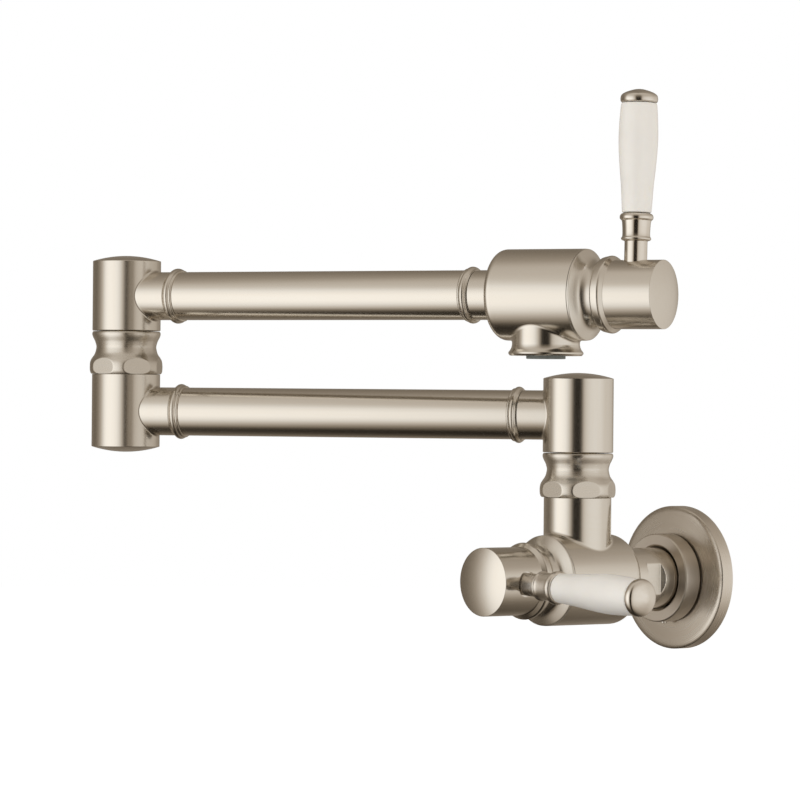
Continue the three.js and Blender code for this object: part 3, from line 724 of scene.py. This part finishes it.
def handle(prefix, frame_m, lever_deg, body, stem_finish, cut=0.0):
    """Hub, stem, grip and cap. lever_deg is the lever's angle about the axis."""
    # the hub's local X is turned to the lever, which enters its side
    hub_m = frame_m @ R(lever_deg, "Y") @ Z_TO_Y
    # local X of the hub must run along the lever (frame +Z at angle 0)
    hub_m = hub_m @ R(-90, "Z")
    sh = Shell()
    tee(sh, hub_outline(cut), LEVER_U, 5.6, 0.15, [(5.6, 13.4), (0.0, 13.4)], n=144, half=8.2,
        inward=True)
    place(f"{prefix}_hub", sh, hub_m, body, [f"{prefix}_handle_hub"], satin)

    lever_m = frame_m @ T(0, LEVER_U, 0) @ R(lever_deg, "Y")
    stem = profile(
        (0, 13.7), (5.0, 13.7, 0.2), (5.0, 23.1, 0.15),
        spline([(5.5, 23.35), (6.2, 23.6), (6.55, 24.1), (6.5, 24.55), (6.2, 24.95)], 4),
        spline([(6.12, 25.15), (6.02, 26.2), (6.08, 28.5), (6.28, 31.2), (6.45, 32.1)], 4),
        spline([(6.75, 32.35), (7.2, 32.8), (7.35, 33.4), (7.28, 34.1), (6.95, 34.7), (6.5, 35.1)], 4),
        (6.1, 35.25, 0.1), (2.0, 35.25), (2.0, 22.0), (0, 22.0))
    lathe(f"{prefix}_stem", stem, lever_m, body, [f"{prefix}_lever_stem"], stem_finish,
          n=96)
    grip = profile(
        (2.4, 35.6), (6.2, 35.6, 0.25),
        spline([(6.45, 36.1), (6.62, 39.0), (7.1, 47.0), (7.62, 52.5), (8.1, 58.0), (8.42, 62.5),
                (8.58, 67.0), (8.55, 71.5), (8.35, 76.0), (8.08, 80.0), (7.85, 82.6)], 6),
        (7.55, 83.2, 0.3), (2.4, 83.2), (2.4, 35.6))
    lathe(f"{prefix}_grip", grip, lever_m, body, [f"{prefix}_lever_grip"], porcelain,
          n=96)
    cap = profile(
        (2.0, 83.45), (7.45, 83.45, 0.15),
        spline([(7.85, 83.7), (8.12, 84.2), (8.18, 84.9), (8.15, 85.6), (7.98, 86.3), (7.6, 86.9),
                (6.95, 87.42), (6.0, 87.92), (4.8, 88.4), (3.4, 88.86), (1.7, 89.27), (0.0, 89.4)], 5),
        (0, 89.4))
    cap = cap[:-1] if math.hypot(cap[-1][0] - cap[-2][0], cap[-1][1] - cap[-2][1]) < 1e-4 else cap
    cap = [(0.0, 86.0), (2.0, 86.0)] + cap
    lathe(f"{prefix}_cap", cap, lever_m, body, [f"{prefix}_lever_cap"], polished,
          n=96)


def bonnet(prefix, frame_m, body):
    pts = profile(
        (9.9, 19.42), (20.0, 19.42, 0.12), (20.0, 20.2, 0.25),
        spline([(19.6, 20.45), (18.6, 20.98), (17.5, 21.57), (16.5, 22.13), (15.7, 22.66), (15.1, 23.22),
                (14.65, 23.95), (14.3, 24.9), (14.1, 25.8), (14.05, 26.6), (14.12, 27.4), (14.22, 28.0)], 5),
        (14.25, 28.2, 0.05), (9.9, 28.2), (9.9, 19.42))
    lathe(f"{prefix}_bonnet", pts, frame_m @ Z_TO_Y, body, [f"{prefix}_bonnet_ring"],
          satin_cone, n=144)


def barrel_outline(plug=None):
    """Valve barrel along Z, its handle end at +Z, bored for the cartridge."""
    near = [(14.0, BODY_NEAR), (14.0, -8.0), (0.0, -8.0)]
    far = [(BODY_R, -18.2), (20.0, -19.2), (19.72, -20.05), (19.2, -20.85), (18.5, -21.5),
           (17.6, -21.98), (16.6, -22.24)]
    curve = spline(far[::-1], 4)
    head = [(0.0, -BODY_FAR), (15.8, -BODY_FAR)] if plug is None else plug
    return profile(*head, curve, (BODY_R, BODY_NEAR, 0.15), *near)


# ------------------------------------------------------------------ wall parts
Y_OUT = Z_TO_Y  # local Z along the world's +Y

flange = profile(
    (14.6, -2.2), (24.0, -2.2), (24.0, 0.0), (32.3, 0.0, 0.15), (32.3, -6.2, 0.15),
    spline([(32.05, -6.45), (31.6, -6.72), (31.0, -6.94), (30.2, -7.08), (29.0, -7.17), (26.0, -7.3), (23.0, -7.42),
            (20.5, -7.47), (17.0, -7.48)], 4),
    (14.6, -7.48, 0.15), (14.6, -2.2))
lathe("flange", flange, Y_OUT, "wall_valve", ["escutcheon"], satin_wall, n=192)

gasket = profile((14.8, -1.9, 0.2), (23.2, -1.9, 0.2), (23.2, -0.3, 0.3), (14.8, -0.3, 0.3), (14.8, -1.9, 0.2))
gasket = gasket if gasket[0] == gasket[-1] else gasket + [gasket[0]]
lathe("gasket", gasket, Y_OUT, "wall_valve", ["wall_gasket"], rubber, n=128)

# collar: local X runs down, so its set screw hole is at the underside
collar_m = Y_OUT @ R(90, "Z")
collar = profile(
    (14.3, -7.7), (16.6, -7.7, 0.1), (16.6, -8.4, 0.1), (19.7, -8.45, 0.1), (19.9, -8.65, 0.1),
    (19.9, -16.45, 0.2), (19.45, -16.95, 0.2), (15.0, -17.0, 0.3), (14.3, -16.3, 0.2), (14.3, -7.7))
sh = Shell()
tee(sh, collar, -11.4, 1.8, 0.12, [(1.8, 15.2), (0.0, 15.2)], n=180, half=2.7, inward=True)
place("collar", sh, collar_m, "wall_valve", ["escutcheon_collar"], satin_collar)
screw = profile((0, 18.9), (0.8, 18.9), (0.8, 20.55), (1.5, 20.55, 0.2), (1.5, 15.5), (0, 15.5))
lathe("set_screw", screw, T(0, -11.4, 0) @ R(180, "X"), "wall_valve", ["collar_set_screw"],
      satin_turned, n=48)


def shank_flats(th, r, z):
    """Two wrench flats, on +X and -X, with a run-out at each end."""
    c = np.maximum(np.abs(np.cos(th)), 1e-3)
    run = np.maximum(np.clip((-34.0 - z) / 0.4, 0, 1), np.clip((z + 25.4) / 2.0, 0, 1))
    flat = (11.85 + 2.0 * run) / c
    return np.where((r > 12.5) & (z < -20) & (z > -37), np.minimum(soft_min(r, flat, 0.08), r), r)


shank = profile(
    (7.0, 20.0, 0.2), (9.7, 20.0), (10.4, 18.8), (10.4, -3.5), (13.7, -3.5, 0.3), (13.7, -22.0))
# thread crests on the inlet, turned as rings
thread = [(7.0, 20.0), (9.5, 20.0)]
zt = 19.2
while zt > -2.6:
    thread += [(9.45, zt), (10.38, zt - 0.75), (10.38, zt - 0.95)]
    zt -= 1.7
thread += [(9.45, zt), (9.45, -3.5)]
levels = [-3.5 - k * 0.0 for k in range(1)]
shank = thread + profile((9.45, -3.5), (13.7, -3.5, 0.3), (13.7, -21.0))[1:]
z = -21.0
while z > -36.5:
    z -= 0.25
    shank.append((13.7, z))
shank += profile((13.7, -37.0), (13.7, -40.5, 0.15), (14.4, -41.1, 0.15), (14.4, -42.95, 0.15), (9.6, -42.95),
                 (9.6, -47.8), (8.1, -47.8), (8.1, -50.2), (9.6, -50.2), (9.6, -53.4), (7.0, -53.4))
shank.append((7.0, 20.0))
lathe("shank", shank, Y_OUT, "wall_valve", ["inlet_shank"], satin, n=180, shape=shank_flats)

# ------------------------------------------------------------------ wall valve
# local Z along the valve axis to the handle, local X up the riser
VALVE_LOCAL = Z_TO_Y @ R(-90, "Z")
sh = Shell()
riser = profile((15.0, 26.5), (15.0, SHOULDER_BASE_Z, 0.25), (NECK_R, SHOULDER_BASE_Z), (NECK_R, 45.9),
                (8.3, 45.9), (8.3, 24.2), (0.0, 24.2))
wall_barrel = barrel_outline([(0.0, -11.8), (9.99, -11.8), (9.99, -BODY_FAR), (15.8, -BODY_FAR)])
tee(sh, wall_barrel, 0.0, 15.0, 2.1, riser, n=180, half=17.8)
place("wall_valve_barrel", sh, WALL_VALVE @ VALVE_LOCAL, "wall_valve", ["wall_valve_body"], satin)
bonnet("wall", WALL_VALVE, "wall_valve")
handle("wall", WALL_VALVE, -90 - 2.6, "wall_handle", polished_stem, cut=0.6)
swivel_nut("shoulder_nut", T(0, SHOULDER_Y, SHOULDER_BASE_Z) @ R(-28.9, "Z"), "wall_valve",
           "shoulder_swivel_nut")


# ------------------------------------------------------------------------ arms
def stub_outline():
    return profile((TUBE_R, 19.6), (TUBE_R, STUB_END, 0.12), (PLUG_R, STUB_END), (PLUG_R, PLUG_END), (0.0, PLUG_END))


def dome_curve(r_edge, z_edge, rise, sign=1.0):
    rho = (r_edge ** 2 + rise ** 2) / (2 * rise)
    return [(r_edge * (1 - k / 14),
             z_edge + sign * (rise - rho + math.sqrt(rho * rho - (r_edge * (1 - k / 14)) ** 2)))
            for k in range(15)]


def post(name, where, body, node_name, foot, top, tube_z, socket, finish):
    sh = Shell()
    pts = profile((0.0, socket), (8.3, socket), (8.3, foot), (15.4, foot, 0.1),
                  (POST_R, foot + 0.3, 0.15), (POST_R, top - 0.15, 0.3), dome_curve(15.2, top, 2.3))
    tee(sh, pts, tube_z, TUBE_R, 1.1, stub_outline(), n=144)
    place(name, sh, where, body, [node_name], finish)


post("lower_post_shoulder", LOWER, "lower_arm", "lower_arm_shoulder",
     SHOULDER_BASE_Z + SWIVEL_H, 89.6, LOWER_TUBE_Z, 64.9, satin)
post("upper_post_elbow", UPPER, "upper_arm", "upper_arm_elbow",
     ELBOW_BASE_Z + SWIVEL_H, 142.1, UPPER_TUBE_Z, 118.3, satin_soft)

# the lower arm's far post carries the elbow's neck above and a domed foot below
sh = Shell()
low = dome_curve(15.2, 56.6, 2.3, -1.0)[::-1]
pts = profile(*[(r, zz) for r, zz in low], (POST_R, 56.75, 0.3), (POST_R, ELBOW_BASE_Z, 0.25),
              (NECK_R, ELBOW_BASE_Z), (NECK_R, ELBOW_BASE_Z + 9.3), (8.3, ELBOW_BASE_Z + 9.3),
              (8.3, 77.7), (0.0, 77.7))
tee(sh, pts, LOWER_TUBE_Z, TUBE_R, 1.1, stub_outline(), n=144)
place("lower_post_elbow", sh, LOWER @ T(LOWER_REACH, 0, 0) @ R(180, "Z"), "lower_arm",
      ["lower_arm_elbow"], satin_soft)

swivel_nut("elbow_nut", T(ELBOW_XY[0], ELBOW_XY[1], ELBOW_BASE_Z) @ R(-19.8, "Z"), "lower_arm",
           "elbow_swivel_nut")


def tube(name, where, body, node_name, a, b):
    pts = profile((9.0, a, 0.1), (TUBE_R, a, 0.15), (TUBE_R, b, 0.15), (9.0, b, 0.1), (9.0, a))
    if pts[0] != pts[-1]:
        pts.append(pts[0])
    lathe(name, pts, where, body, [node_name], satin, n=144)


LOW_AXIS = LOWER @ T(0, 0, LOWER_TUBE_Z) @ Z_TO_X
UP_AXIS = UPPER @ T(0, 0, UPPER_TUBE_Z) @ Z_TO_X
tube("lower_tube", LOW_AXIS, "lower_arm", "lower_arm_tube", BEAD_AT + 2.4, LOWER_REACH - BEAD_AT - 2.4)
tube("upper_tube", UP_AXIS, "upper_arm", "upper_arm_tube", BEAD_AT + 2.4, UPPER_BEAD_AT - 2.4)
FLIP = R(180, "X")
bead("lower_bead_shoulder", LOW_AXIS @ T(0, 0, BEAD_AT) @ FLIP, "lower_arm", "lower_arm_bead_shoulder")
bead("lower_bead_elbow", LOW_AXIS @ T(0, 0, LOWER_REACH - BEAD_AT), "lower_arm", "lower_arm_bead_elbow")
bead("upper_bead_elbow", UP_AXIS @ T(0, 0, BEAD_AT) @ FLIP, "upper_arm", "upper_arm_bead_elbow")
bead("upper_bead_spout", UP_AXIS @ T(0, 0, UPPER_BEAD_AT), "upper_arm", "upper_arm_bead_spout")

# ----------------------------------------------------------------- spout valve
bead_u = UPPER_BEAD_AT - UPPER_REACH
head = [(0.0, bead_u - 10.2), (PLUG_R, bead_u - 10.2), (PLUG_R, bead_u + 2.5), (TUBE_R, bead_u + 2.5, 0.12),
        (TUBE_R, -BODY_FAR, 0.5), (15.8, -BODY_FAR)]
# the outlet hangs down: local X runs down
SPOUT_LOCAL = Z_TO_Y @ R(90, "Z")
outlet = profile((14.9, 21.75), spline([(14.91, 21.95), (14.97, 22.3), (15.12, 22.95), (15.45, 23.8),
                                      (15.95, 24.55), (16.4, 25.15)], 4),
                 spline([(16.42, 25.2), (16.5, 25.55), (16.42, 25.95), (16.1, 26.35)], 4),
                 (15.75, 26.7, 0.1), (12.3, 26.7, 0.15), (12.3, 17.0), (0.0, 17.0))
sh = Shell()
tee(sh, barrel_outline(head), 0.0, 14.9, 2.1, outlet, n=180, half=17.8)
place("spout_barrel", sh, SPOUT_VALVE @ SPOUT_LOCAL, "upper_arm", ["spout_valve_body"], satin)
bonnet("spout", SPOUT_VALVE, "upper_arm")
handle("spout", SPOUT_VALVE, -1.9, "spout_handle", polished)

# aerator, local Z down
AER = SPOUT_VALVE @ R(180, "X")
housing = profile((9.0, 20.2), (8.3, 20.2), (8.3, 19.0), (11.95, 19.0), (11.95, 26.35, 0.3), (9.05, 26.35, 0.3), (9.0, 20.2))
if housing[0] != housing[-1]:
    housing.append(housing[0])
lathe("aerator_shell", housing, AER, "upper_arm", ["aerator_housing"], aerator, n=96)

# the insert's face is a disc of small square cells
sh = Shell()
cells = 84
side = profile((0.0, 21.2), (8.65, 21.2), (8.65, 28.1, 0.35), (7.9, 28.1))
turned(sh, side, cells)
rings = [7.9, 6.75, 5.6, 4.45, 3.3, 2.15]
up = np.array((0.0, 0.0, 1.0))


def polar(r, t, zz):
    return np.array((r * math.cos(t), r * math.sin(t), zz))


for k in range(len(rings) - 1):
    ro, ri = rings[k], rings[k + 1]
    for j in range(0, cells, 3):
        t = [2 * math.pi * (j + s) / cells for s in range(4)]
        # one cell of three steps: the web round it, and a square pit
        a0, a1 = t[0] + 0.012, t[3] - 0.012
        bo, bi = ro - 0.22, ri + 0.22
        o = [polar(ro, tt, 28.1) for tt in t]
        i_ = [polar(ri, tt, 28.1) for tt in t]
        po = [polar(bo, a0 + (a1 - a0) * s / 3, 28.1) for s in range(4)]
        pi = [polar(bi, a0 + (a1 - a0) * s / 3, 28.1) for s in range(4)]
        qo = [p - up * 0.9 for p in po]
        qi = [p - up * 0.9 for p in pi]
        n4 = [up] * 4
        for s in range(3):
            sh.face([o[s], o[s + 1], po[s + 1], po[s]], n4)
            sh.face([i_[s], i_[s + 1], pi[s + 1], pi[s]], n4)
            sh.face([qo[s], qo[s + 1], qi[s + 1], qi[s]], n4)
            mid = polar(1.0, (t[s] + t[s + 1]) / 2, 0.0)
            sh.face([po[s], po[s + 1], qo[s + 1], qo[s]], [-mid] * 4)
            sh.face([pi[s], pi[s + 1], qi[s + 1], qi[s]], [mid] * 4)
        sh.face([o[0], i_[0], pi[0], po[0]], n4)
        sh.face([o[3], i_[3], pi[3], po[3]], n4)
        ta = np.array((-math.sin(t[0]), math.cos(t[0]), 0.0))
        tb = np.array((-math.sin(t[3]), math.cos(t[3]), 0.0))
        sh.face([po[0], pi[0], qi[0], qo[0]], [ta] * 4)
        sh.face([po[3], pi[3], qi[3], qo[3]], [-tb] * 4)
for j in range(cells):
    t0, t1 = 2 * math.pi * j / cells, 2 * math.pi * (j + 1) / cells
    sh.face([polar(2.15, t0, 28.1), polar(2.15, t1, 28.1), polar(0.0, 0.0, 28.1)], [up] * 3)
place("aerator_face", sh, AER, "upper_arm", ["aerator_insert"], aerator)

# ------------------------------------------------- finishes of the carried nodes
slots_of = {}
for part in frame["record"].get("subparts", []):
    nm = part.get("node") or part.get("name")
    slots_of[nm] = part.get("material_slot") or part.get("material")
for nm, ob in frame["nodes"].items():
    if ob.hide_render:
        continue
    key = slots_of.get(nm)
    mat = CARRIED.get(key, brass)
    for s in range(len(ob.material_slots)):
        ob.material_slots[s].material = mat
    if not ob.material_slots:
        ob.data.materials.append(mat)

# --------------------------------------------------------------- stage and light
BACK = Vector((0.75591, -0.65468, 0.0))    # from the object to the camera
RIGHT = Vector((0.65468, 0.75591, 0.0))
UP = Vector((0.0, 0.0, 1.0))

cam_data = bpy.data.cameras.new("camera")
cam_data.lens = 207.0
cam_data.sensor_width = 36.0
cam_data.clip_start = 0.05
cam_data.clip_end = 20.0
cam = bpy.data.objects.new("camera", cam_data)
bpy.context.scene.collection.objects.link(cam)
roll = rad(0.497)
cx = RIGHT * math.cos(roll) + UP * math.sin(roll)
cy = -RIGHT * math.sin(roll) + UP * math.cos(roll)
m = Matrix((
    (cx.x, cy.x, BACK.x, 1.4932),
    (cx.y, cy.y, BACK.y, -1.4637),
    (cx.z, cy.z, BACK.z, 0.0792),
    (0, 0, 0, 1)))
cam.matrix_world = m
bpy.context.scene.camera = cam

# A wide pale floor well below the part. It is seen, but doesn't light the metal.
fl = bpy.data.meshes.new("floor")
k = 96
fl.from_pydata([(0, 0, 0)] + [(4 * math.cos(2 * math.pi * i / k), 4 * math.sin(2 * math.pi * i / k), 0) for i in range(k)],
               [], [(0, 1 + i, 1 + (i + 1) % k) for i in range(k)])
floor = bpy.data.objects.new("floor", fl)
floor.location = (0, 0, -0.17)
bpy.context.scene.collection.objects.link(floor)
fm, nt, bsdf = new_material("floor_pale")
bsdf.inputs["Base Color"].default_value = (0.9, 0.9, 0.89, 1)
bsdf.inputs["Roughness"].default_value = 0.8
bsdf.inputs["Emission Color"].default_value = (1, 1, 1, 1)
bsdf.inputs["Emission Strength"].default_value = 1.0
fl.materials.append(fm)
floor.visible_glossy = False
floor.visible_diffuse = False
floor.visible_shadow = False

# The background is white. The light comes from a round tent about the part,
# which the camera doesn't see: tall soft panels to the left and right of the
# camera, a dark gap where it stands, a dimmer ceiling, and dark below.
world = bpy.data.worlds.new("studio")
bpy.context.scene.world = world
world.use_nodes = True
nt = world.node_tree
nt.nodes.clear()
wout = nt.nodes.new("ShaderNodeOutputWorld")
white = nt.nodes.new("ShaderNodeBackground")
white.inputs["Color"].default_value = (1, 1, 1, 1)
lp = nt.nodes.new("ShaderNodeLightPath")
nt.links.new(lp.outputs["Is Camera Ray"], white.inputs["Strength"])
nt.links.new(white.outputs[0], wout.inputs["Surface"])
world.cycles.sampling_method = "NONE"

TENT_R = 0.75
k, rows = 48, 24
tv = [(0.0, 0.0, TENT_R)]
for i in range(1, rows):
    for j in range(k):
        t, q = math.pi * i / rows, 2 * math.pi * j / k
        tv.append((TENT_R * math.sin(t) * math.cos(q), TENT_R * math.sin(t) * math.sin(q), TENT_R * math.cos(t)))
tv.append((0.0, 0.0, -TENT_R))
tf = [(0, 1 + j, 1 + (j + 1) % k) for j in range(k)]
for i in range(rows - 2):
    for j in range(k):
        a0, b0 = 1 + i * k + j, 1 + i * k + (j + 1) % k
        tf.append((a0, a0 + k, b0 + k, b0))
tf += [(len(tv) - 1, 1 + (rows - 2) * k + (j + 1) % k, 1 + (rows - 2) * k + j) for j in range(k)]
tm = bpy.data.meshes.new("light_tent")
tm.from_pydata(tv, [], tf)
tent = bpy.data.objects.new("light_tent", tm)
tent.location = (0.0, SHOULDER_Y * MM, 0.09)
bpy.context.scene.collection.objects.link(tent)
tent.visible_camera = False
tent.visible_shadow = False
tmat = bpy.data.materials.new("tent_light")
tmat.use_nodes = True
tmat.cycles.emission_sampling = "NONE"
tm.materials.append(tmat)
nt = tmat.node_tree
nt.nodes.clear()
tout = nt.nodes.new("ShaderNodeOutputMaterial")
tct = nt.nodes.new("ShaderNodeTexCoord")
away = nt.nodes.new("ShaderNodeVectorMath")
away.operation = "NORMALIZE"
nt.links.new(tct.outputs["Object"], away.inputs[0])


def dot_with(vec):
    d = nt.nodes.new("ShaderNodeVectorMath")
    d.operation = "DOT_PRODUCT"
    nt.links.new(away.outputs["Vector"], d.inputs[0])
    d.inputs[1].default_value = vec
    return d.outputs["Value"]


db, dr, du = dot_with(BACK), dot_with(RIGHT), dot_with(UP)
az = math_node(nt, "ARCTAN2", dr, db)
azn = math_node(nt, "MULTIPLY_ADD", az, 0.5 / math.pi, 0.5)
el = math_node(nt, "ARCSINE", du)
eln = math_node(nt, "MULTIPLY_ADD", el, 1.0 / math.pi, 0.5)


def curve(fac, pts, lo, hi):
    """Brightness from a list of (degrees, value)."""
    nd = nt.nodes.new("ShaderNodeFloatCurve")
    c = nd.mapping.curves[0]
    for i, (deg, v) in enumerate(pts):
        x, y = (deg - lo) / (hi - lo), v / 2.0
        if i == 0:
            c.points[0].location = (x, y)
        elif i == len(pts) - 1:
            c.points[len(c.points) - 1].location = (x, y)
        else:
            c.points.new(x, y)
    for p in c.points:
        p.handle_type = "AUTO_CLAMPED"
    nd.mapping.update()
    nt.links.new(fac, nd.inputs["Value"])
    return math_node(nt, "MULTIPLY", nd.outputs["Value"], 2.0)


AZIMUTH = [(-180, 0.28), (-150, 0.26), (-132, 0.21), (-118, 0.18), (-111, 0.22), (-104, 0.31), (-97, 0.48), (-88, 0.85), (-70, 1.33),
           (-50, 1.24), (-36, 0.95), (-26, 0.56), (-20, 0.2), (-15, 0.012), (0, 0.01), (6, 0.02),
           (11, 0.24), (19, 0.7), (32, 0.88), (55, 0.95), (75, 0.92), (95, 0.8), (115, 0.76),
           (135, 0.67), (152, 0.42), (180, 0.28)]
ELEVATION = [(-90, 0.03), (-76, 0.05), (-62, 0.12), (-53, 0.27), (-39, 0.6), (-25, 0.89), (-12, 1.0), (0, 1.0),
             (14, 0.86), (25, 0.58), (33, 0.38), (45, 0.2), (60, 0.08), (90, 0.0)]
CEILING = [(-90, 0.0), (5, 0.0), (20, 0.1), (33, 0.26), (50, 0.46), (65, 0.56), (90, 0.6)]
CEILING_SIDE = [(-180, 0.4), (-120, 0.7), (-70, 1.0), (0, 1.0), (70, 1.0), (120, 0.7), (180, 0.4)]
# Beyond a set distance the gap is filled and the panels dim by a fifth. No real
# lamp does this: it is a correction fitted to the elbow's dark band, and a veil
# of 0 leaves it out.
path = nt.nodes.new("ShaderNodeLightPath")
far_off = nt.nodes.new("ShaderNodeMapRange")
far_off.interpolation_type = "SMOOTHSTEP"
far_off.inputs["From Min"].default_value = 0.772
far_off.inputs["From Max"].default_value = 0.835
nt.links.new(path.outputs["Ray Length"], far_off.inputs["Value"])
veil = far_off.outputs["Result"]
around = math_node(nt, "MULTIPLY", curve(azn, AZIMUTH, -180, 180), math_node(nt, "MULTIPLY_ADD", veil, -0.2, 1.0))
around = math_node(nt, "MAXIMUM", around, math_node(nt, "MULTIPLY", veil, 0.32))
level = math_node(nt, "MULTIPLY", around, curve(eln, ELEVATION, -90, 90))
over = math_node(nt, "MULTIPLY", curve(eln, CEILING, -90, 90), curve(azn, CEILING_SIDE, -180, 180))
level = math_node(nt, "ADD", math_node(nt, "ADD", level, over), 0.01)
tint = nt.nodes.new("ShaderNodeValToRGB")
tint.color_ramp.elements[0].position = 0.12
tint.color_ramp.elements[1].position = 1.0
tint.color_ramp.elements[0].color = (1.0, 0.83, 0.64, 1)
tint.color_ramp.elements[1].color = (1.0, 0.985, 0.965, 1)
nt.links.new(level, tint.inputs["Fac"])
glow = nt.nodes.new("ShaderNodeEmission")
nt.links.new(tint.outputs["Color"], glow.inputs["Color"])
nt.links.new(level, glow.inputs["Strength"])
nt.links.new(glow.outputs[0], tout.inputs["Surface"])

# fills for the white grips: they don't show in the metal
for name, azimuth, height, far, energy in (("fill", 0.0, 1.3, 2.3, 20.0), ("fill_left", -125.0, 0.6, 2.0, 19.0),
                                           ("fill_right", 125.0, 0.6, 2.0, 14.0), ("fill_low", -10.0, -1.3, 1.7, 11.0)):
    fill_data = bpy.data.lights.new(name, "AREA")
    fill_data.shape = "DISK"
    fill_data.size = 1.6
    fill_data.energy = energy
    fill_data.color = (1.0, 0.985, 0.96)
    fill = bpy.data.objects.new(name, fill_data)
    bpy.context.scene.collection.objects.link(fill)
    pos = (BACK * math.cos(rad(azimuth)) + RIGHT * math.sin(rad(azimuth))) * far + UP * height
    fill.location = pos
    fill.rotation_mode = "QUATERNION"
    fill.rotation_quaternion = (pos - Vector((0, -0.05, 0.08))).to_track_quat("Z", "Y")
    fill.visible_glossy = False
    fill.visible_camera = False

scene = bpy.context.scene
scene.view_settings.view_transform = "Standard"
scene.view_settings.look = "None"
scene.cycles.use_denoising = True
